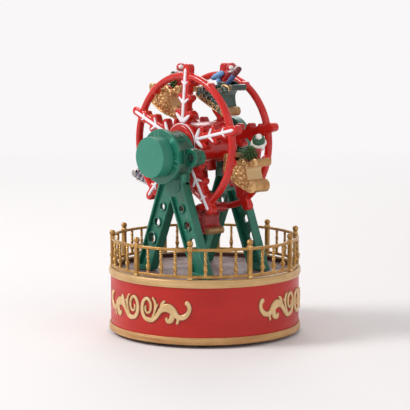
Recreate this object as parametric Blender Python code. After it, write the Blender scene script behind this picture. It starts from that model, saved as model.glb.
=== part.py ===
# Table ferris wheel: a wound drive head turns a snowflake wheel with five
# hanging sleighs over a round plinth. Metres, Z up, the wheel axle along Y.
import bpy
import bmesh
import math
from mathutils import Matrix, Vector

MM = 0.001
GAP = 0.3                      # air between two touching pieces
ROUND = 44                     # sides of the big round pieces

# plinth
FOOT_H = 2.5                   # rubber feet under the plinth
WALL_R = 68.8                  # red wall
WALL_T = 2.6
WALL_H = 34.6                  # red wall that shows between the bands
BAND_OUT = 1.2                 # how far both gold bands stand out from the wall
BAND_R = WALL_R + BAND_OUT
LOW_BAND_H = 5.2
TOP_BAND_H = 5.6
TOP_BAND_Z = FOOT_H + LOW_BAND_H + WALL_H
RIM_Z = TOP_BAND_Z + TOP_BAND_H
DECK_DROP = 3.4                # the deck lies a little below the rim
DECK_Z = RIM_Z - DECK_DROP
DECK_T = 2.5
FEET_IN = 10.8                 # feet from the wall's outer face
FEET_R = WALL_R - FEET_IN
FEET_TURN = -45.0
SCROLL_OUT = 1.1               # how far the scrolls stand out from the wall
SCROLL_SQUEEZE = 0.62          # their spirals' width to height
SCROLL_AT = (-85.0, 22.0, 148.5)

# fence
FENCE_IN = 2.3                 # fence line from the band's outer face
FENCE_R = BAND_R - FENCE_IN
POSTS = 10
POST_W = 3.7
BALL_R = 2.2
RAIL_H = 2.0
RAIL_W = 2.0
RAIL_UP = 1.1                  # lower rail above the rim
FENCE_H = 21.8                 # top of the handrail above the rim
POST_UP = 1.4                  # posts above the handrail
RAIL_LOW = (RIM_Z + RAIL_UP, RIM_Z + RAIL_UP + RAIL_H)
RAIL_TOP = (RIM_Z + FENCE_H - RAIL_H, RIM_Z + FENCE_H)
POST_TOP = RIM_Z + FENCE_H + POST_UP
FENCE_TURN = -52.8             # direction of one post

# wheel
MID_Y = -2.0                   # middle of the wheel and of the two stands
AXLE_UP = 93.8                 # wheel axle above the deck
AXLE_Z = DECK_Z + AXLE_UP
AXLE_R = 2.0
PHASE = -5.0                   # turn of the arms in the rest pose
RIM_R = 48.1                   # centre line of the round rim
RIM_TUBE = 2.7
ARM_TIP = 57.0
ARM_W = 6.6
PLATE_T = 6.2
PLATE_OUT = 21.5               # outer face of a plate from the wheel's middle
HUB_R = 13.4
HUB_T = 1.2
DRUM_R = 14.5
INLAY_T = 0.6
INLAY_TIP = 54.2
NODES = (41.8, 29.7, 17.8)     # where the side branches leave the arm
BRANCH = (4.6, 6.8, 9.6)       # their lengths
SLANT = 50.0
PIN_R = 1.2
PIN_TURN = 45.3                # pins from the arm before them

# stands
STAND_OUT = 32.2               # outer faces from the wheel's middle
STAND_D = 7.6
LEG_SLOPE = 0.384
LEG_W = 15.2                   # across a leg, measured level
CROTCH_W = 2.9                 # how far each leg reaches past the neck's edge
NECK_HALF = LEG_W - CROTCH_W
WEB_IN = 2.2
WEB_T = 1.8
RIB = 1.7
COLLAR_W = 1.25                # raised ring round each hole
HOLES = ((37.4, -1.8, 2.2), (48.8, -0.3, 2.6), (60.6, 1.5, 3.1))  # below the head, off the leg's middle, radius

# head
HEAD_DROP = 8.4                # the head's axis below the axle
HEAD_Z = AXLE_Z - HEAD_DROP
CASE_R = 17.6
CASE_T = 1.7
FLANGE_R = 19.6
FLANGE_T = 3.0
FLANGE_FLAT = 18.9
CASE_FRONT_Y = -44.0
SPLIT_Y = -31.0
CAP_R = 14.6
CAP_FRONT_Y = -54.3
EAR_X = 22.6
EAR_R = 6.3

# drive inside the head
GEAR_M = 0.56
BARREL_TEETH = 20
PINION_TEETH = 10
BARREL_R = 12.6
ARBOR_R = 1.8
PAWL_AT = (10.5, 5.0)           # the pawl's post, from the head's axis

# sleighs
SLEIGH_W = 15.0
SLEIGH_WALL = 1.5
SLEIGH_FLOOR = 2.0
PIN_AT = (14.8, 18.2)          # the pin in the sleigh's own outline, over its middle
EAR_W = 3.2                    # round ear of the sleigh's side that carries the pin
NOSE_AT = (27.6, 4.7)
NOSE_R = 4.7
ROLL_AT = (26.0, 21.5)         # the roll on top of the dashboard
ROLL_R = 3.3
BACK_AT = (-1.1, 16.0)         # the scroll at the back
BACK_R = 2.7
TILTS = (14.0, 26.0, 16.0, 14.0, 15.0)

for ob in list(bpy.data.objects):
    bpy.data.objects.remove(ob, do_unlink=True)

main = bpy.data.collections.new("ferris_wheel_decoration")
cutters = bpy.data.collections.new("cutters")
bpy.context.scene.collection.children.link(main)
bpy.context.scene.collection.children.link(cutters)

MATERIALS = {
    "red_gloss": (0.62, 0.02, 0.02, 0.0, 0.28),
    "red_paint": (0.45, 0.03, 0.03, 0.0, 0.40),
    "green_gloss": (0.03, 0.24, 0.17, 0.0, 0.30),
    "gold_paint": (0.60, 0.42, 0.20, 0.6, 0.42),
    "bronze_paint": (0.40, 0.24, 0.09, 0.6, 0.45),
    "deck_paint": (0.22, 0.14, 0.13, 0.0, 0.65),
    "white_paint": (0.85, 0.84, 0.82, 0.0, 0.40),
    "black_rubber": (0.02, 0.02, 0.02, 0.0, 0.85),
    "steel": (0.55, 0.56, 0.57, 1.0, 0.32),
    "brass": (0.72, 0.52, 0.20, 1.0, 0.30),
    "grey_plastic": (0.20, 0.20, 0.21, 0.0, 0.50),
    "dark_green_paint": (0.02, 0.07, 0.05, 0.0, 0.40),
    "tree_green": (0.05, 0.14, 0.05, 0.0, 0.60),
    "blue_paint": (0.16, 0.35, 0.70, 0.0, 0.40),
    "purple_paint": (0.12, 0.08, 0.22, 0.0, 0.40),
}


def material(name, slot):
    r, g, b, metal, rough = MATERIALS[slot]
    mat = bpy.data.materials.new(name + "_" + slot)
    mat.use_nodes = True
    node = mat.node_tree.nodes["Principled BSDF"]
    node.inputs["Base Color"].default_value = (r, g, b, 1.0)
    node.inputs["Metallic"].default_value = metal
    node.inputs["Roughness"].default_value = rough
    return mat


def finish(bm, name, slot=None):
    """Make an object of a bmesh given in millimetres."""
    bmesh.ops.remove_doubles(bm, verts=bm.verts, dist=0.0005)
    bmesh.ops.recalc_face_normals(bm, faces=bm.faces)
    bmesh.ops.scale(bm, vec=(MM, MM, MM), verts=bm.verts)
    mesh = bpy.data.meshes.new(name)
    bm.to_mesh(mesh)
    bm.free()
    ob = bpy.data.objects.new(name, mesh)
    if slot:
        main.objects.link(ob)
        mesh.materials.append(material(name, slot))
    else:
        cutters.objects.link(ob)
        ob.hide_render = True
        ob.display_type = "WIRE"
    mesh.shade_smooth()
    mesh.set_sharp_from_angle(angle=math.radians(32))
    return ob


def add_prism(bm, pts, y0, y1):
    """A flat outline in X and Z drawn out along Y."""
    face = bm.faces.new([bm.verts.new((x, y0, z)) for x, z in pts])
    grown = bmesh.ops.extrude_face_region(bm, geom=[face], use_keep_orig=True)["geom"]
    verts = [g for g in grown if isinstance(g, bmesh.types.BMVert)]
    bmesh.ops.translate(bm, vec=(0, y1 - y0, 0), verts=verts)


def add_box(bm, x0, x1, y0, y1, z0, z1):
    made = bmesh.ops.create_cube(bm, size=1.0)["verts"]
    centre = Vector((x0 + x1, y0 + y1, z0 + z1)) / 2
    size = Matrix.Diagonal((x1 - x0, y1 - y0, z1 - z0, 1.0))
    bmesh.ops.transform(bm, matrix=Matrix.Translation(centre) @ size, verts=made)


TO_AXIS = {
    "Z": Matrix.Identity(4),
    "Y": Matrix(((1, 0, 0, 0), (0, 0, 1, 0), (0, 1, 0, 0), (0, 0, 0, 1))),
}


def add_turned(bm, profile, steps, axis="Z", at=(0, 0, 0), arc=None):
    """Turn a profile of (radius, height) pairs, closed through the axis or on itself."""
    closed = profile[0][0] > 0 or profile[-1][0] > 0
    start, sweep = (0.0, 360.0) if arc is None else arc
    row = [bm.verts.new((r, 0, h)) for r, h in profile]
    edges = [bm.edges.new(pair) for pair in zip(row, row[1:])]
    if closed:
        edges.append(bm.edges.new((row[-1], row[0])))
    old = set(bm.verts) - set(row)
    made = bmesh.ops.spin(bm, geom=row + edges, cent=(0, 0, 0), axis=(0, 0, 1),
                          angle=math.radians(sweep), steps=int(steps), use_duplicate=False)
    if arc is not None:
        last = [g for g in made["geom_last"] if isinstance(g, bmesh.types.BMVert)]
        bm.faces.new(row)
        bm.faces.new(sorted(last, key=lambda v: match_row(v, profile))[::-1])
    verts = [v for v in bm.verts if v not in old]
    turn = Matrix.Rotation(math.radians(start), 4, "Z")
    bmesh.ops.transform(bm, matrix=Matrix.Translation(at) @ TO_AXIS[axis] @ turn, verts=verts)
    bmesh.ops.remove_doubles(bm, verts=verts, dist=0.0005)
    return [v for v in bm.verts if v not in old]


def match_row(vert, profile):
    """Which point of the profile a vertex of the last row came from."""
    r = math.hypot(vert.co.x, vert.co.y)
    return min(range(len(profile)),
               key=lambda i: abs(profile[i][0] - r) + abs(profile[i][1] - vert.co.z))


def add_rod(bm, r, h0, h1, steps, axis="Y", at=(0, 0, 0)):
    made = bmesh.ops.create_cone(bm, cap_ends=True, segments=steps, radius1=r, radius2=r,
                                 depth=abs(h1 - h0))["verts"]
    shift = Matrix.Translation((0, 0, (h0 + h1) / 2))
    bmesh.ops.transform(bm, matrix=Matrix.Translation(at) @ TO_AXIS[axis] @ shift, verts=made)


def move(bm, verts, matrix):
    bmesh.ops.transform(bm, matrix=matrix, verts=list(set(verts)))


def boolean(ob, other, kind, label):
    mod = ob.modifiers.new(label, "BOOLEAN")
    mod.operation = kind
    mod.solver = "EXACT"
    mod.object = other
    other.parent = ob
    return mod


def axle_point(radius, degrees):
    a = math.radians(degrees)
    return radius * math.cos(a), AXLE_Z + radius * math.sin(a)


# plinth
def build_plinth():
    wall_in = WALL_R - WALL_T
    shelf_z = DECK_Z - DECK_T - GAP
    bm = bmesh.new()
    add_turned(bm, [
        (WALL_R, FOOT_H + 0.6), (WALL_R, RIM_Z - 1.5), (wall_in, RIM_Z - 1.5),
        (wall_in, shelf_z), (wall_in - 5.0, shelf_z), (wall_in - 5.0, shelf_z - 2.0),
        (wall_in, shelf_z - 6.0), (wall_in, FOOT_H + 0.6)], ROUND)
    shell = finish(bm, "base_shell", "red_paint")
    # three bosses for the cover screws, each growing out of the wall
    bm = bmesh.new()
    for k in range(3):
        a = math.radians(90 + 120 * k)
        r = wall_in - 3.4
        add_rod(bm, 4.0, FOOT_H + 3.3, FOOT_H + 15, 10, "Z", (r * math.cos(a), r * math.sin(a), 0))
    boolean(shell, finish(bm, "cut_bosses"), "UNION", "bosses")
    bm = bmesh.new()
    for k in range(3):
        a = math.radians(90 + 120 * k)
        r = wall_in - 3.4
        add_rod(bm, 1.5, FOOT_H + 2.0, FOOT_H + 13, 8, "Z", (r * math.cos(a), r * math.sin(a), 0))
    boolean(shell, finish(bm, "cut_boss_bores"), "DIFFERENCE", "boss bores")

    bm = bmesh.new()
    add_turned(bm, [
        (WALL_R + GAP, FOOT_H), (BAND_R - 0.5, FOOT_H), (BAND_R, FOOT_H + 0.6),
        (BAND_R, FOOT_H + LOW_BAND_H - 0.5), (WALL_R + GAP, FOOT_H + LOW_BAND_H)], ROUND)
    finish(bm, "lower_band", "gold_paint")

    bm = bmesh.new()
    add_turned(bm, [
        (WALL_R + GAP, TOP_BAND_Z), (BAND_R - 0.4, TOP_BAND_Z), (BAND_R, TOP_BAND_Z + 0.6),
        (BAND_R, RIM_Z - 0.7), (BAND_R - 0.6, RIM_Z), (wall_in - 0.6, RIM_Z),
        (wall_in - 0.6, RIM_Z - 1.2), (WALL_R + GAP, RIM_Z - 1.2)], ROUND)
    finish(bm, "upper_band", "gold_paint")

    bm = bmesh.new()
    add_turned(bm, [
        (0, DECK_Z), (wall_in - 1.0, DECK_Z), (wall_in - GAP, DECK_Z - 0.7),
        (wall_in - GAP, DECK_Z - DECK_T), (0, DECK_Z - DECK_T)], ROUND)
    deck = finish(bm, "deck", "deck_paint")
    bm = bmesh.new()
    for sx in (-1, 1):
        for y in foot_screw_y():
            add_rod(bm, 1.3, DECK_Z - DECK_T - 1, DECK_Z + 1, 12, "Z", (sx * foot_screw_x(), y, 0))
    boolean(deck, finish(bm, "cut_deck_bores"), "DIFFERENCE", "screw bores")

    # bottom cover with its feet and screws
    r_cover = wall_in - GAP
    bm = bmesh.new()
    add_turned(bm, [
        (0, FOOT_H + 3.0), (r_cover, FOOT_H + 3.0), (r_cover, FOOT_H + 1.0), (0, FOOT_H + 1.0)], ROUND)
    cover = finish(bm, "bottom_cover", "grey_plastic")
    bm = bmesh.new()
    for k in range(3):
        a = math.radians(90 + 120 * k)
        r = wall_in - 3.4
        at = (r * math.cos(a), r * math.sin(a), 0)
        add_rod(bm, 1.6, FOOT_H, FOOT_H + 4, 12, "Z", at)
    boolean(cover, finish(bm, "cut_cover_bores"), "DIFFERENCE", "screw bores")
    for k in range(3):
        a = math.radians(90 + 120 * k)
        r = wall_in - 3.4
        at = (r * math.cos(a), r * math.sin(a), 0)
        z = FOOT_H + 1.0 - GAP
        bm = bmesh.new()
        add_turned(bm, [(0, z - 0.9), (1.9, z - 0.9), (2.5, z - 0.4), (2.5, z), (1.2, z),
                        (1.2, z + 10), (0, z + 10.6)], 8, "Z", at)
        finish(bm, "cover_screw_%d" % (k + 1), "steel")
        a = math.radians(FEET_TURN + 120 * k)
        at = (FEET_R * math.cos(a), FEET_R * math.sin(a), 0)
        bm = bmesh.new()
        add_turned(bm, [(0, 0), (4.2, 0), (4.8, 0.6), (4.8, z), (0, z)], 16, "Z", at)
        finish(bm, "rubber_foot_%d" % (k + 1), "black_rubber")

    for label, turn in zip(("front", "right", "rear"), SCROLL_AT):
        build_scroll("scroll_" + label, turn)


def foot_screw_x():
    top = NECK_HALF + LEG_SLOPE * (HEAD_Z - 20 - DECK_Z)
    return top - LEG_W / 2


def foot_screw_y():
    return (MID_Y - STAND_OUT + 3.8, MID_Y + STAND_OUT - 3.8)


def ribbon(points, widths, samples=4):
    """Outline of a soft band that follows the points, with a width at each of them."""
    fine = []
    n = len(points)
    for i in range(n - 1):
        p0 = points[max(i - 1, 0)]
        p1 = points[i]
        p2 = points[i + 1]
        p3 = points[min(i + 2, n - 1)]
        for s in range(samples):
            t = s / samples
            x, z, w = [
                0.5 * (2 * b + (c - a) * t + (2 * a - 5 * b + 4 * c - d) * t * t
                       + (3 * b - a - 3 * c + d) * t ** 3)
                for a, b, c, d in zip((*p0, widths[max(i - 1, 0)]), (*p1, widths[i]),
                                      (*p2, widths[i + 1]), (*p3, widths[min(i + 2, n - 1)]))]
            fine.append((x, z, max(w, 0.25)))
    fine.append((*points[-1], widths[-1]))
    left = []
    right = []
    for i, (x, z, w) in enumerate(fine):
        ax, az, _ = fine[max(i - 1, 0)]
        bx, bz, _ = fine[min(i + 1, len(fine) - 1)]
        d = math.hypot(bx - ax, bz - az) or 1
        nx, nz = -(bz - az) / d, (bx - ax) / d
        left.append((x + nx * w, z + nz * w))
        right.append((x - nx * w, z - nz * w))
    return left, right


def add_wrapped_ribbon(bm, left, right, turn, mirror, r0, r1):
    """A band laid on the round wall; x of the outline runs along the wall."""
    rows = []
    for r in (r0, r1):
        for side in (left, right):
            row = []
            for x, z in side:
                a = math.radians(turn) + mirror * x / WALL_R
                row.append(bm.verts.new((r * math.cos(a), r * math.sin(a), z)))
            rows.append(row)
    il, ir, ol, orr = rows
    n = len(left)
    for i in range(n - 1):
        bm.faces.new((ol[i], ol[i + 1], orr[i + 1], orr[i]))
        bm.faces.new((il[i], ir[i], ir[i + 1], il[i + 1]))
        bm.faces.new((ol[i], il[i], il[i + 1], ol[i + 1]))
        bm.faces.new((orr[i], orr[i + 1], ir[i + 1], ir[i]))
    bm.faces.new((ol[0], orr[0], ir[0], il[0]))
    bm.faces.new((ol[-1], il[-1], ir[-1], orr[-1]))


def build_scroll(name, turn):
    """Each half is a spiral whose radius grows evenly with its turn, squeezed to SCROLL_SQUEEZE of its
    height, and runs on into a leaf body and a hook. A stem, a leaf, a lobe and a small leaf grow from it."""
    zc = FOOT_H + 22.0
    for side, mirror in (("left", -1), ("right", 1)):
        path = []
        widths = []
        turns = 14
        for i in range(turns):
            t = i / turns
            a = math.radians(150 + 480 * t)
            r = 2.2 + 6.3 * t
            path.append((6.6 + SCROLL_SQUEEZE * r * math.cos(a), zc + 2.4 + r * math.sin(a)))
            widths.append(0.7 + 0.9 * t)
        hook = [(6.6, -6.1, 1.65), (10.1, -6.1, 1.7), (13.6, -3.9, 1.6), (15.9, -1.0, 1.6), (18.0, 1.5, 2.1),
                (20.8, 3.0, 2.9), (23.8, 3.0, 3.1), (26.4, 1.2, 2.9), (28.9, -1.6, 2.2), (31.7, -3.0, 1.9),
                (34.9, -2.4, 1.9), (37.5, 0.1, 1.5), (38.6, 3.5, 1.4), (37.6, 6.5, 1.6), (35.2, 8.0, 1.6)]
        left, right = ribbon(path + [(x, zc + z) for x, z, w in hook], widths + [w for x, z, w in hook], 1)
        bm = bmesh.new()
        add_wrapped_ribbon(bm, left, right, turn, mirror, WALL_R + GAP, WALL_R + SCROLL_OUT)
        half = finish(bm, "%s_%s" % (name, side), "gold_paint")
        bm = bmesh.new()
        for line in ([(10.6, -5.6, 1.0), (12.3, -1.0, 0.9), (13.3, 3.4, 1.0), (12.7, 7.2, 0.9), (10.6, 10.0, 0.5)],
                     [(18.0, 2.6, 1.5), (18.9, 6.3, 1.2), (20.8, 8.2, 0.7)],
                     [(26.3, 1.2, 1.6), (26.0, -2.7, 1.8), (24.6, -5.6, 2.1), (22.2, -6.2, 1.2)],
                     [(30.2, -2.6, 0.9), (30.5, -5.1, 1.1), (29.6, -8.1, 0.7)]):
            l2, r2 = ribbon([(x, zc + z) for x, z, w in line], [w for x, z, w in line], 2)
            add_wrapped_ribbon(bm, l2, r2, turn, mirror, WALL_R + GAP + 0.1, WALL_R + SCROLL_OUT - 0.15)
        boolean(half, finish(bm, "cut_leaves_%s_%s" % (name, side)), "UNION", "stem, leaves and lobe")


# fence
def add_baluster(bm, angle):
    z0 = RAIL_LOW[1] - 0.5
    z1 = RAIL_TOP[0] + 0.5
    h = z1 - z0
    rows = [(0.0, 0), (0.0, 0.8), (0.24, 1.4), (0.44, 0.65), (0.60, 1.0), (0.78, 0.65), (1.0, 0.8),
            (1.0, 0)]
    profile = [(r, z0 + h * t) for t, r in rows[::-1]]
    a = math.radians(angle)
    add_turned(bm, profile, 4, "Z", (FENCE_R * math.cos(a), FENCE_R * math.sin(a), 0))


def add_post(bm, angle):
    z0 = RIM_Z + GAP
    w = POST_W / 2
    outline = [(w, w), (-w, w), (-w, -w), (w, -w)]
    rows = []
    for z, k in ((z0, 1.0), (POST_TOP - 0.5, 1.0), (POST_TOP, 0.72)):
        rows.append([bm.verts.new((x * k, y * k, z)) for x, y in outline])
    bm.faces.new(rows[0][::-1])
    for lower, upper in zip(rows, rows[1:]):
        for i in range(4):
            j = (i + 1) % 4
            bm.faces.new((lower[i], lower[j], upper[j], upper[i]))
    # ball finial grown straight out of the top of the post
    zb = POST_TOP + 0.3 + BALL_R * 0.8
    prev = rows[-1]
    for t in (-48, 0, 48):
        r = BALL_R * math.cos(math.radians(t))
        z = zb + BALL_R * math.sin(math.radians(t))
        ring = []
        for x, y in outline:
            d = math.hypot(x, y)
            ring.append(bm.verts.new((x / d * r, y / d * r, z)))
        for i in range(4):
            j = (i + 1) % 4
            bm.faces.new((prev[i], prev[j], ring[j], ring[i]))
        prev = ring
    bm.faces.new(prev)
    verts = [v for row in rows for v in row]
    seen = set(verts)
    grow = list(verts)
    while grow:
        v = grow.pop()
        for e in v.link_edges:
            o = e.other_vert(v)
            if o not in seen:
                seen.add(o)
                grow.append(o)
    a = math.radians(angle)
    move(bm, seen, Matrix.Translation((FENCE_R * math.cos(a), FENCE_R * math.sin(a), 0))
         @ Matrix.Rotation(a, 4, "Z"))


def build_fence():
    step = 360.0 / POSTS
    half = POSTS // 2
    for label, first in (("front", 0), ("rear", half)):
        start = FENCE_TURN - step + first * step
        bm = bmesh.new()
        lead = 1.8
        end = start + half * step - lead - 0.4
        for z0, z1 in (RAIL_LOW, RAIL_TOP):
            add_turned(bm, [(FENCE_R + RAIL_W / 2, z1), (FENCE_R + RAIL_W / 2, z0),
                            (FENCE_R - RAIL_W / 2, z0), (FENCE_R - RAIL_W / 2, z1)],
                       15, "Z", (0, 0, 0), (start - lead, end - start + lead))
        strip = finish(bm, "fence_" + label, "bronze_paint")
        bm = bmesh.new()
        for k in range(half):
            add_post(bm, start + k * step)
            for j in (1, 2, 3):
                add_baluster(bm, start + k * step + j * step / 4)
        boolean(strip, finish(bm, "cut_posts_" + label), "UNION", "posts and balusters")


# stands
def leg_outer(z):
    return NECK_HALF + LEG_SLOPE * (HEAD_Z - 20.0 - z)


def leg_holes():
    """The holes down each leg as (x, z, radius)."""
    for drop, shift, r in HOLES:
        z = HEAD_Z - drop
        x = leg_outer(z) - LEG_W / 2 + shift
        yield x, z, r
        yield -x, z, r


def stand_outline(centre_z):
    z0 = DECK_Z + GAP
    zn = HEAD_Z - 20.0
    z_in = zn - (LEG_W - NECK_HALF) / LEG_SLOPE
    xo = leg_outer(z0)
    start = -math.acos(NECK_HALF / CASE_R)
    pts = [(0, z_in), (xo - LEG_W, z0), (xo, z0), (NECK_HALF, zn)]
    sweep = math.pi - 2 * start
    for i in range(19):
        a = start + sweep * i / 18
        pts.append((CASE_R * math.cos(a), centre_z + CASE_R * math.sin(a)))
    pts += [(-NECK_HALF, zn), (-xo, z0), (LEG_W - xo, z0)]
    return pts


def pocket_outline(top):
    z0 = DECK_Z + 6.0
    zn = HEAD_Z - 20.0
    z_in = zn - (LEG_W - NECK_HALF) / LEG_SLOPE
    xo = leg_outer(z0)
    side = RIB * 1.07
    return [(0, z_in + 1.0 + side / LEG_SLOPE), (xo - LEG_W + side, z0), (xo - side, z0),
            (NECK_HALF - side, zn), (NECK_HALF - side, top), (side - NECK_HALF, top),
            (side - NECK_HALF, zn), (side - xo, z0), (LEG_W - side - xo, z0)]


def build_stand(name, side, centre_z):
    def y(d):
        return MID_Y + side * (STAND_OUT - d)

    bm = bmesh.new()
    add_prism(bm, stand_outline(centre_z), y(0), y(STAND_D))
    stand = finish(bm, name, "green_gloss")

    bm = bmesh.new()
    top = HEAD_Z - CASE_R - 1.4
    add_prism(bm, pocket_outline(top), y(-1), y(WEB_IN))
    add_prism(bm, pocket_outline(top), y(WEB_IN + WEB_T), y(STAND_D + 1))
    boolean(stand, finish(bm, "cut_pockets_" + name), "DIFFERENCE", "channel pockets")

    bm = bmesh.new()
    for x, z, r in leg_holes():
        add_rod(bm, r + COLLAR_W, y(WEB_IN - 1.0), y(WEB_IN + 0.7), 14, "Y", (x, 0, z))
    boolean(stand, finish(bm, "cut_collars_" + name), "UNION", "hole collars")

    bores = bmesh.new()
    for x, z, r in leg_holes():
        add_rod(bores, r, y(-1), y(STAND_D + 1), 12, "Y", (x, 0, z))
    for sx in (-1, 1):
        add_rod(bores, 1.3, DECK_Z - 1, DECK_Z + 5.0, 12, "Z", (sx * foot_screw_x(), y(3.8), 0))
    if side < 0:
        # room for the front half of the head, then the ears of this rear half
        bm = bmesh.new()
        add_rod(bm, CASE_R + 0.8, y(-1), SPLIT_Y + GAP / 2, 36, "Y", (0, 0, HEAD_Z))
        boolean(stand, finish(bm, "cut_head_seat"), "DIFFERENCE", "head seat")
        bm = bmesh.new()
        for sx in (-1, 1):
            add_ear(bm, sx, EAR_R + 0.9, SPLIT_Y + GAP / 2 + 0.05, y(STAND_D) - 0.05)
        boolean(stand, finish(bm, "cut_rear_ears"), "UNION", "rear ears")
        add_rod(bores, CASE_R - CASE_T, y(-1), y(STAND_D) - 1.8, 32, "Y", (0, 0, HEAD_Z))
        boolean(stand, finish(bores, "cut_bores_" + name), "DIFFERENCE", "bores")
        bores = bmesh.new()
        add_rod(bores, 4.2, y(0), y(STAND_D) + 1, 12, "Y", (0, 0, AXLE_Z))
        for sx in (-1, 1):
            add_rod(bores, 1.3, y(0), y(STAND_D) - 1.0, 12, "Y", (sx * EAR_X, 0, HEAD_Z))
        boolean(stand, finish(bores, "cut_axle_bore_" + name), "DIFFERENCE", "axle bore")
    else:
        add_rod(bores, 4.2, y(STAND_D + 1), y(2.2), 12, "Y", (0, 0, AXLE_Z))
        boolean(stand, finish(bores, "cut_bores_" + name), "DIFFERENCE", "bores")
    return stand


def add_ear(bm, sx, r, y0, y1):
    """A rounded lug that reaches from inside the head's wall to the screw."""
    pts = []
    inner = CASE_R - 0.9
    for i in range(9):
        a = math.radians(-90 + 180 * i / 8)
        pts.append((EAR_X + r * math.cos(a), HEAD_Z + r * math.sin(a)))
    h = r
    pts.append((math.sqrt(inner ** 2 - h ** 2), HEAD_Z + h))
    for i in range(1, 6):
        t = math.asin(h / inner) * (1 - i / 3.0)
        pts.append((inner * math.cos(t), HEAD_Z + inner * math.sin(t)))
    pts.append((math.sqrt(inner ** 2 - h ** 2), HEAD_Z - h))
    if sx < 0:
        pts = [(-x, z) for x, z in pts][::-1]
    add_prism(bm, pts, y0, y1)


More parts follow.
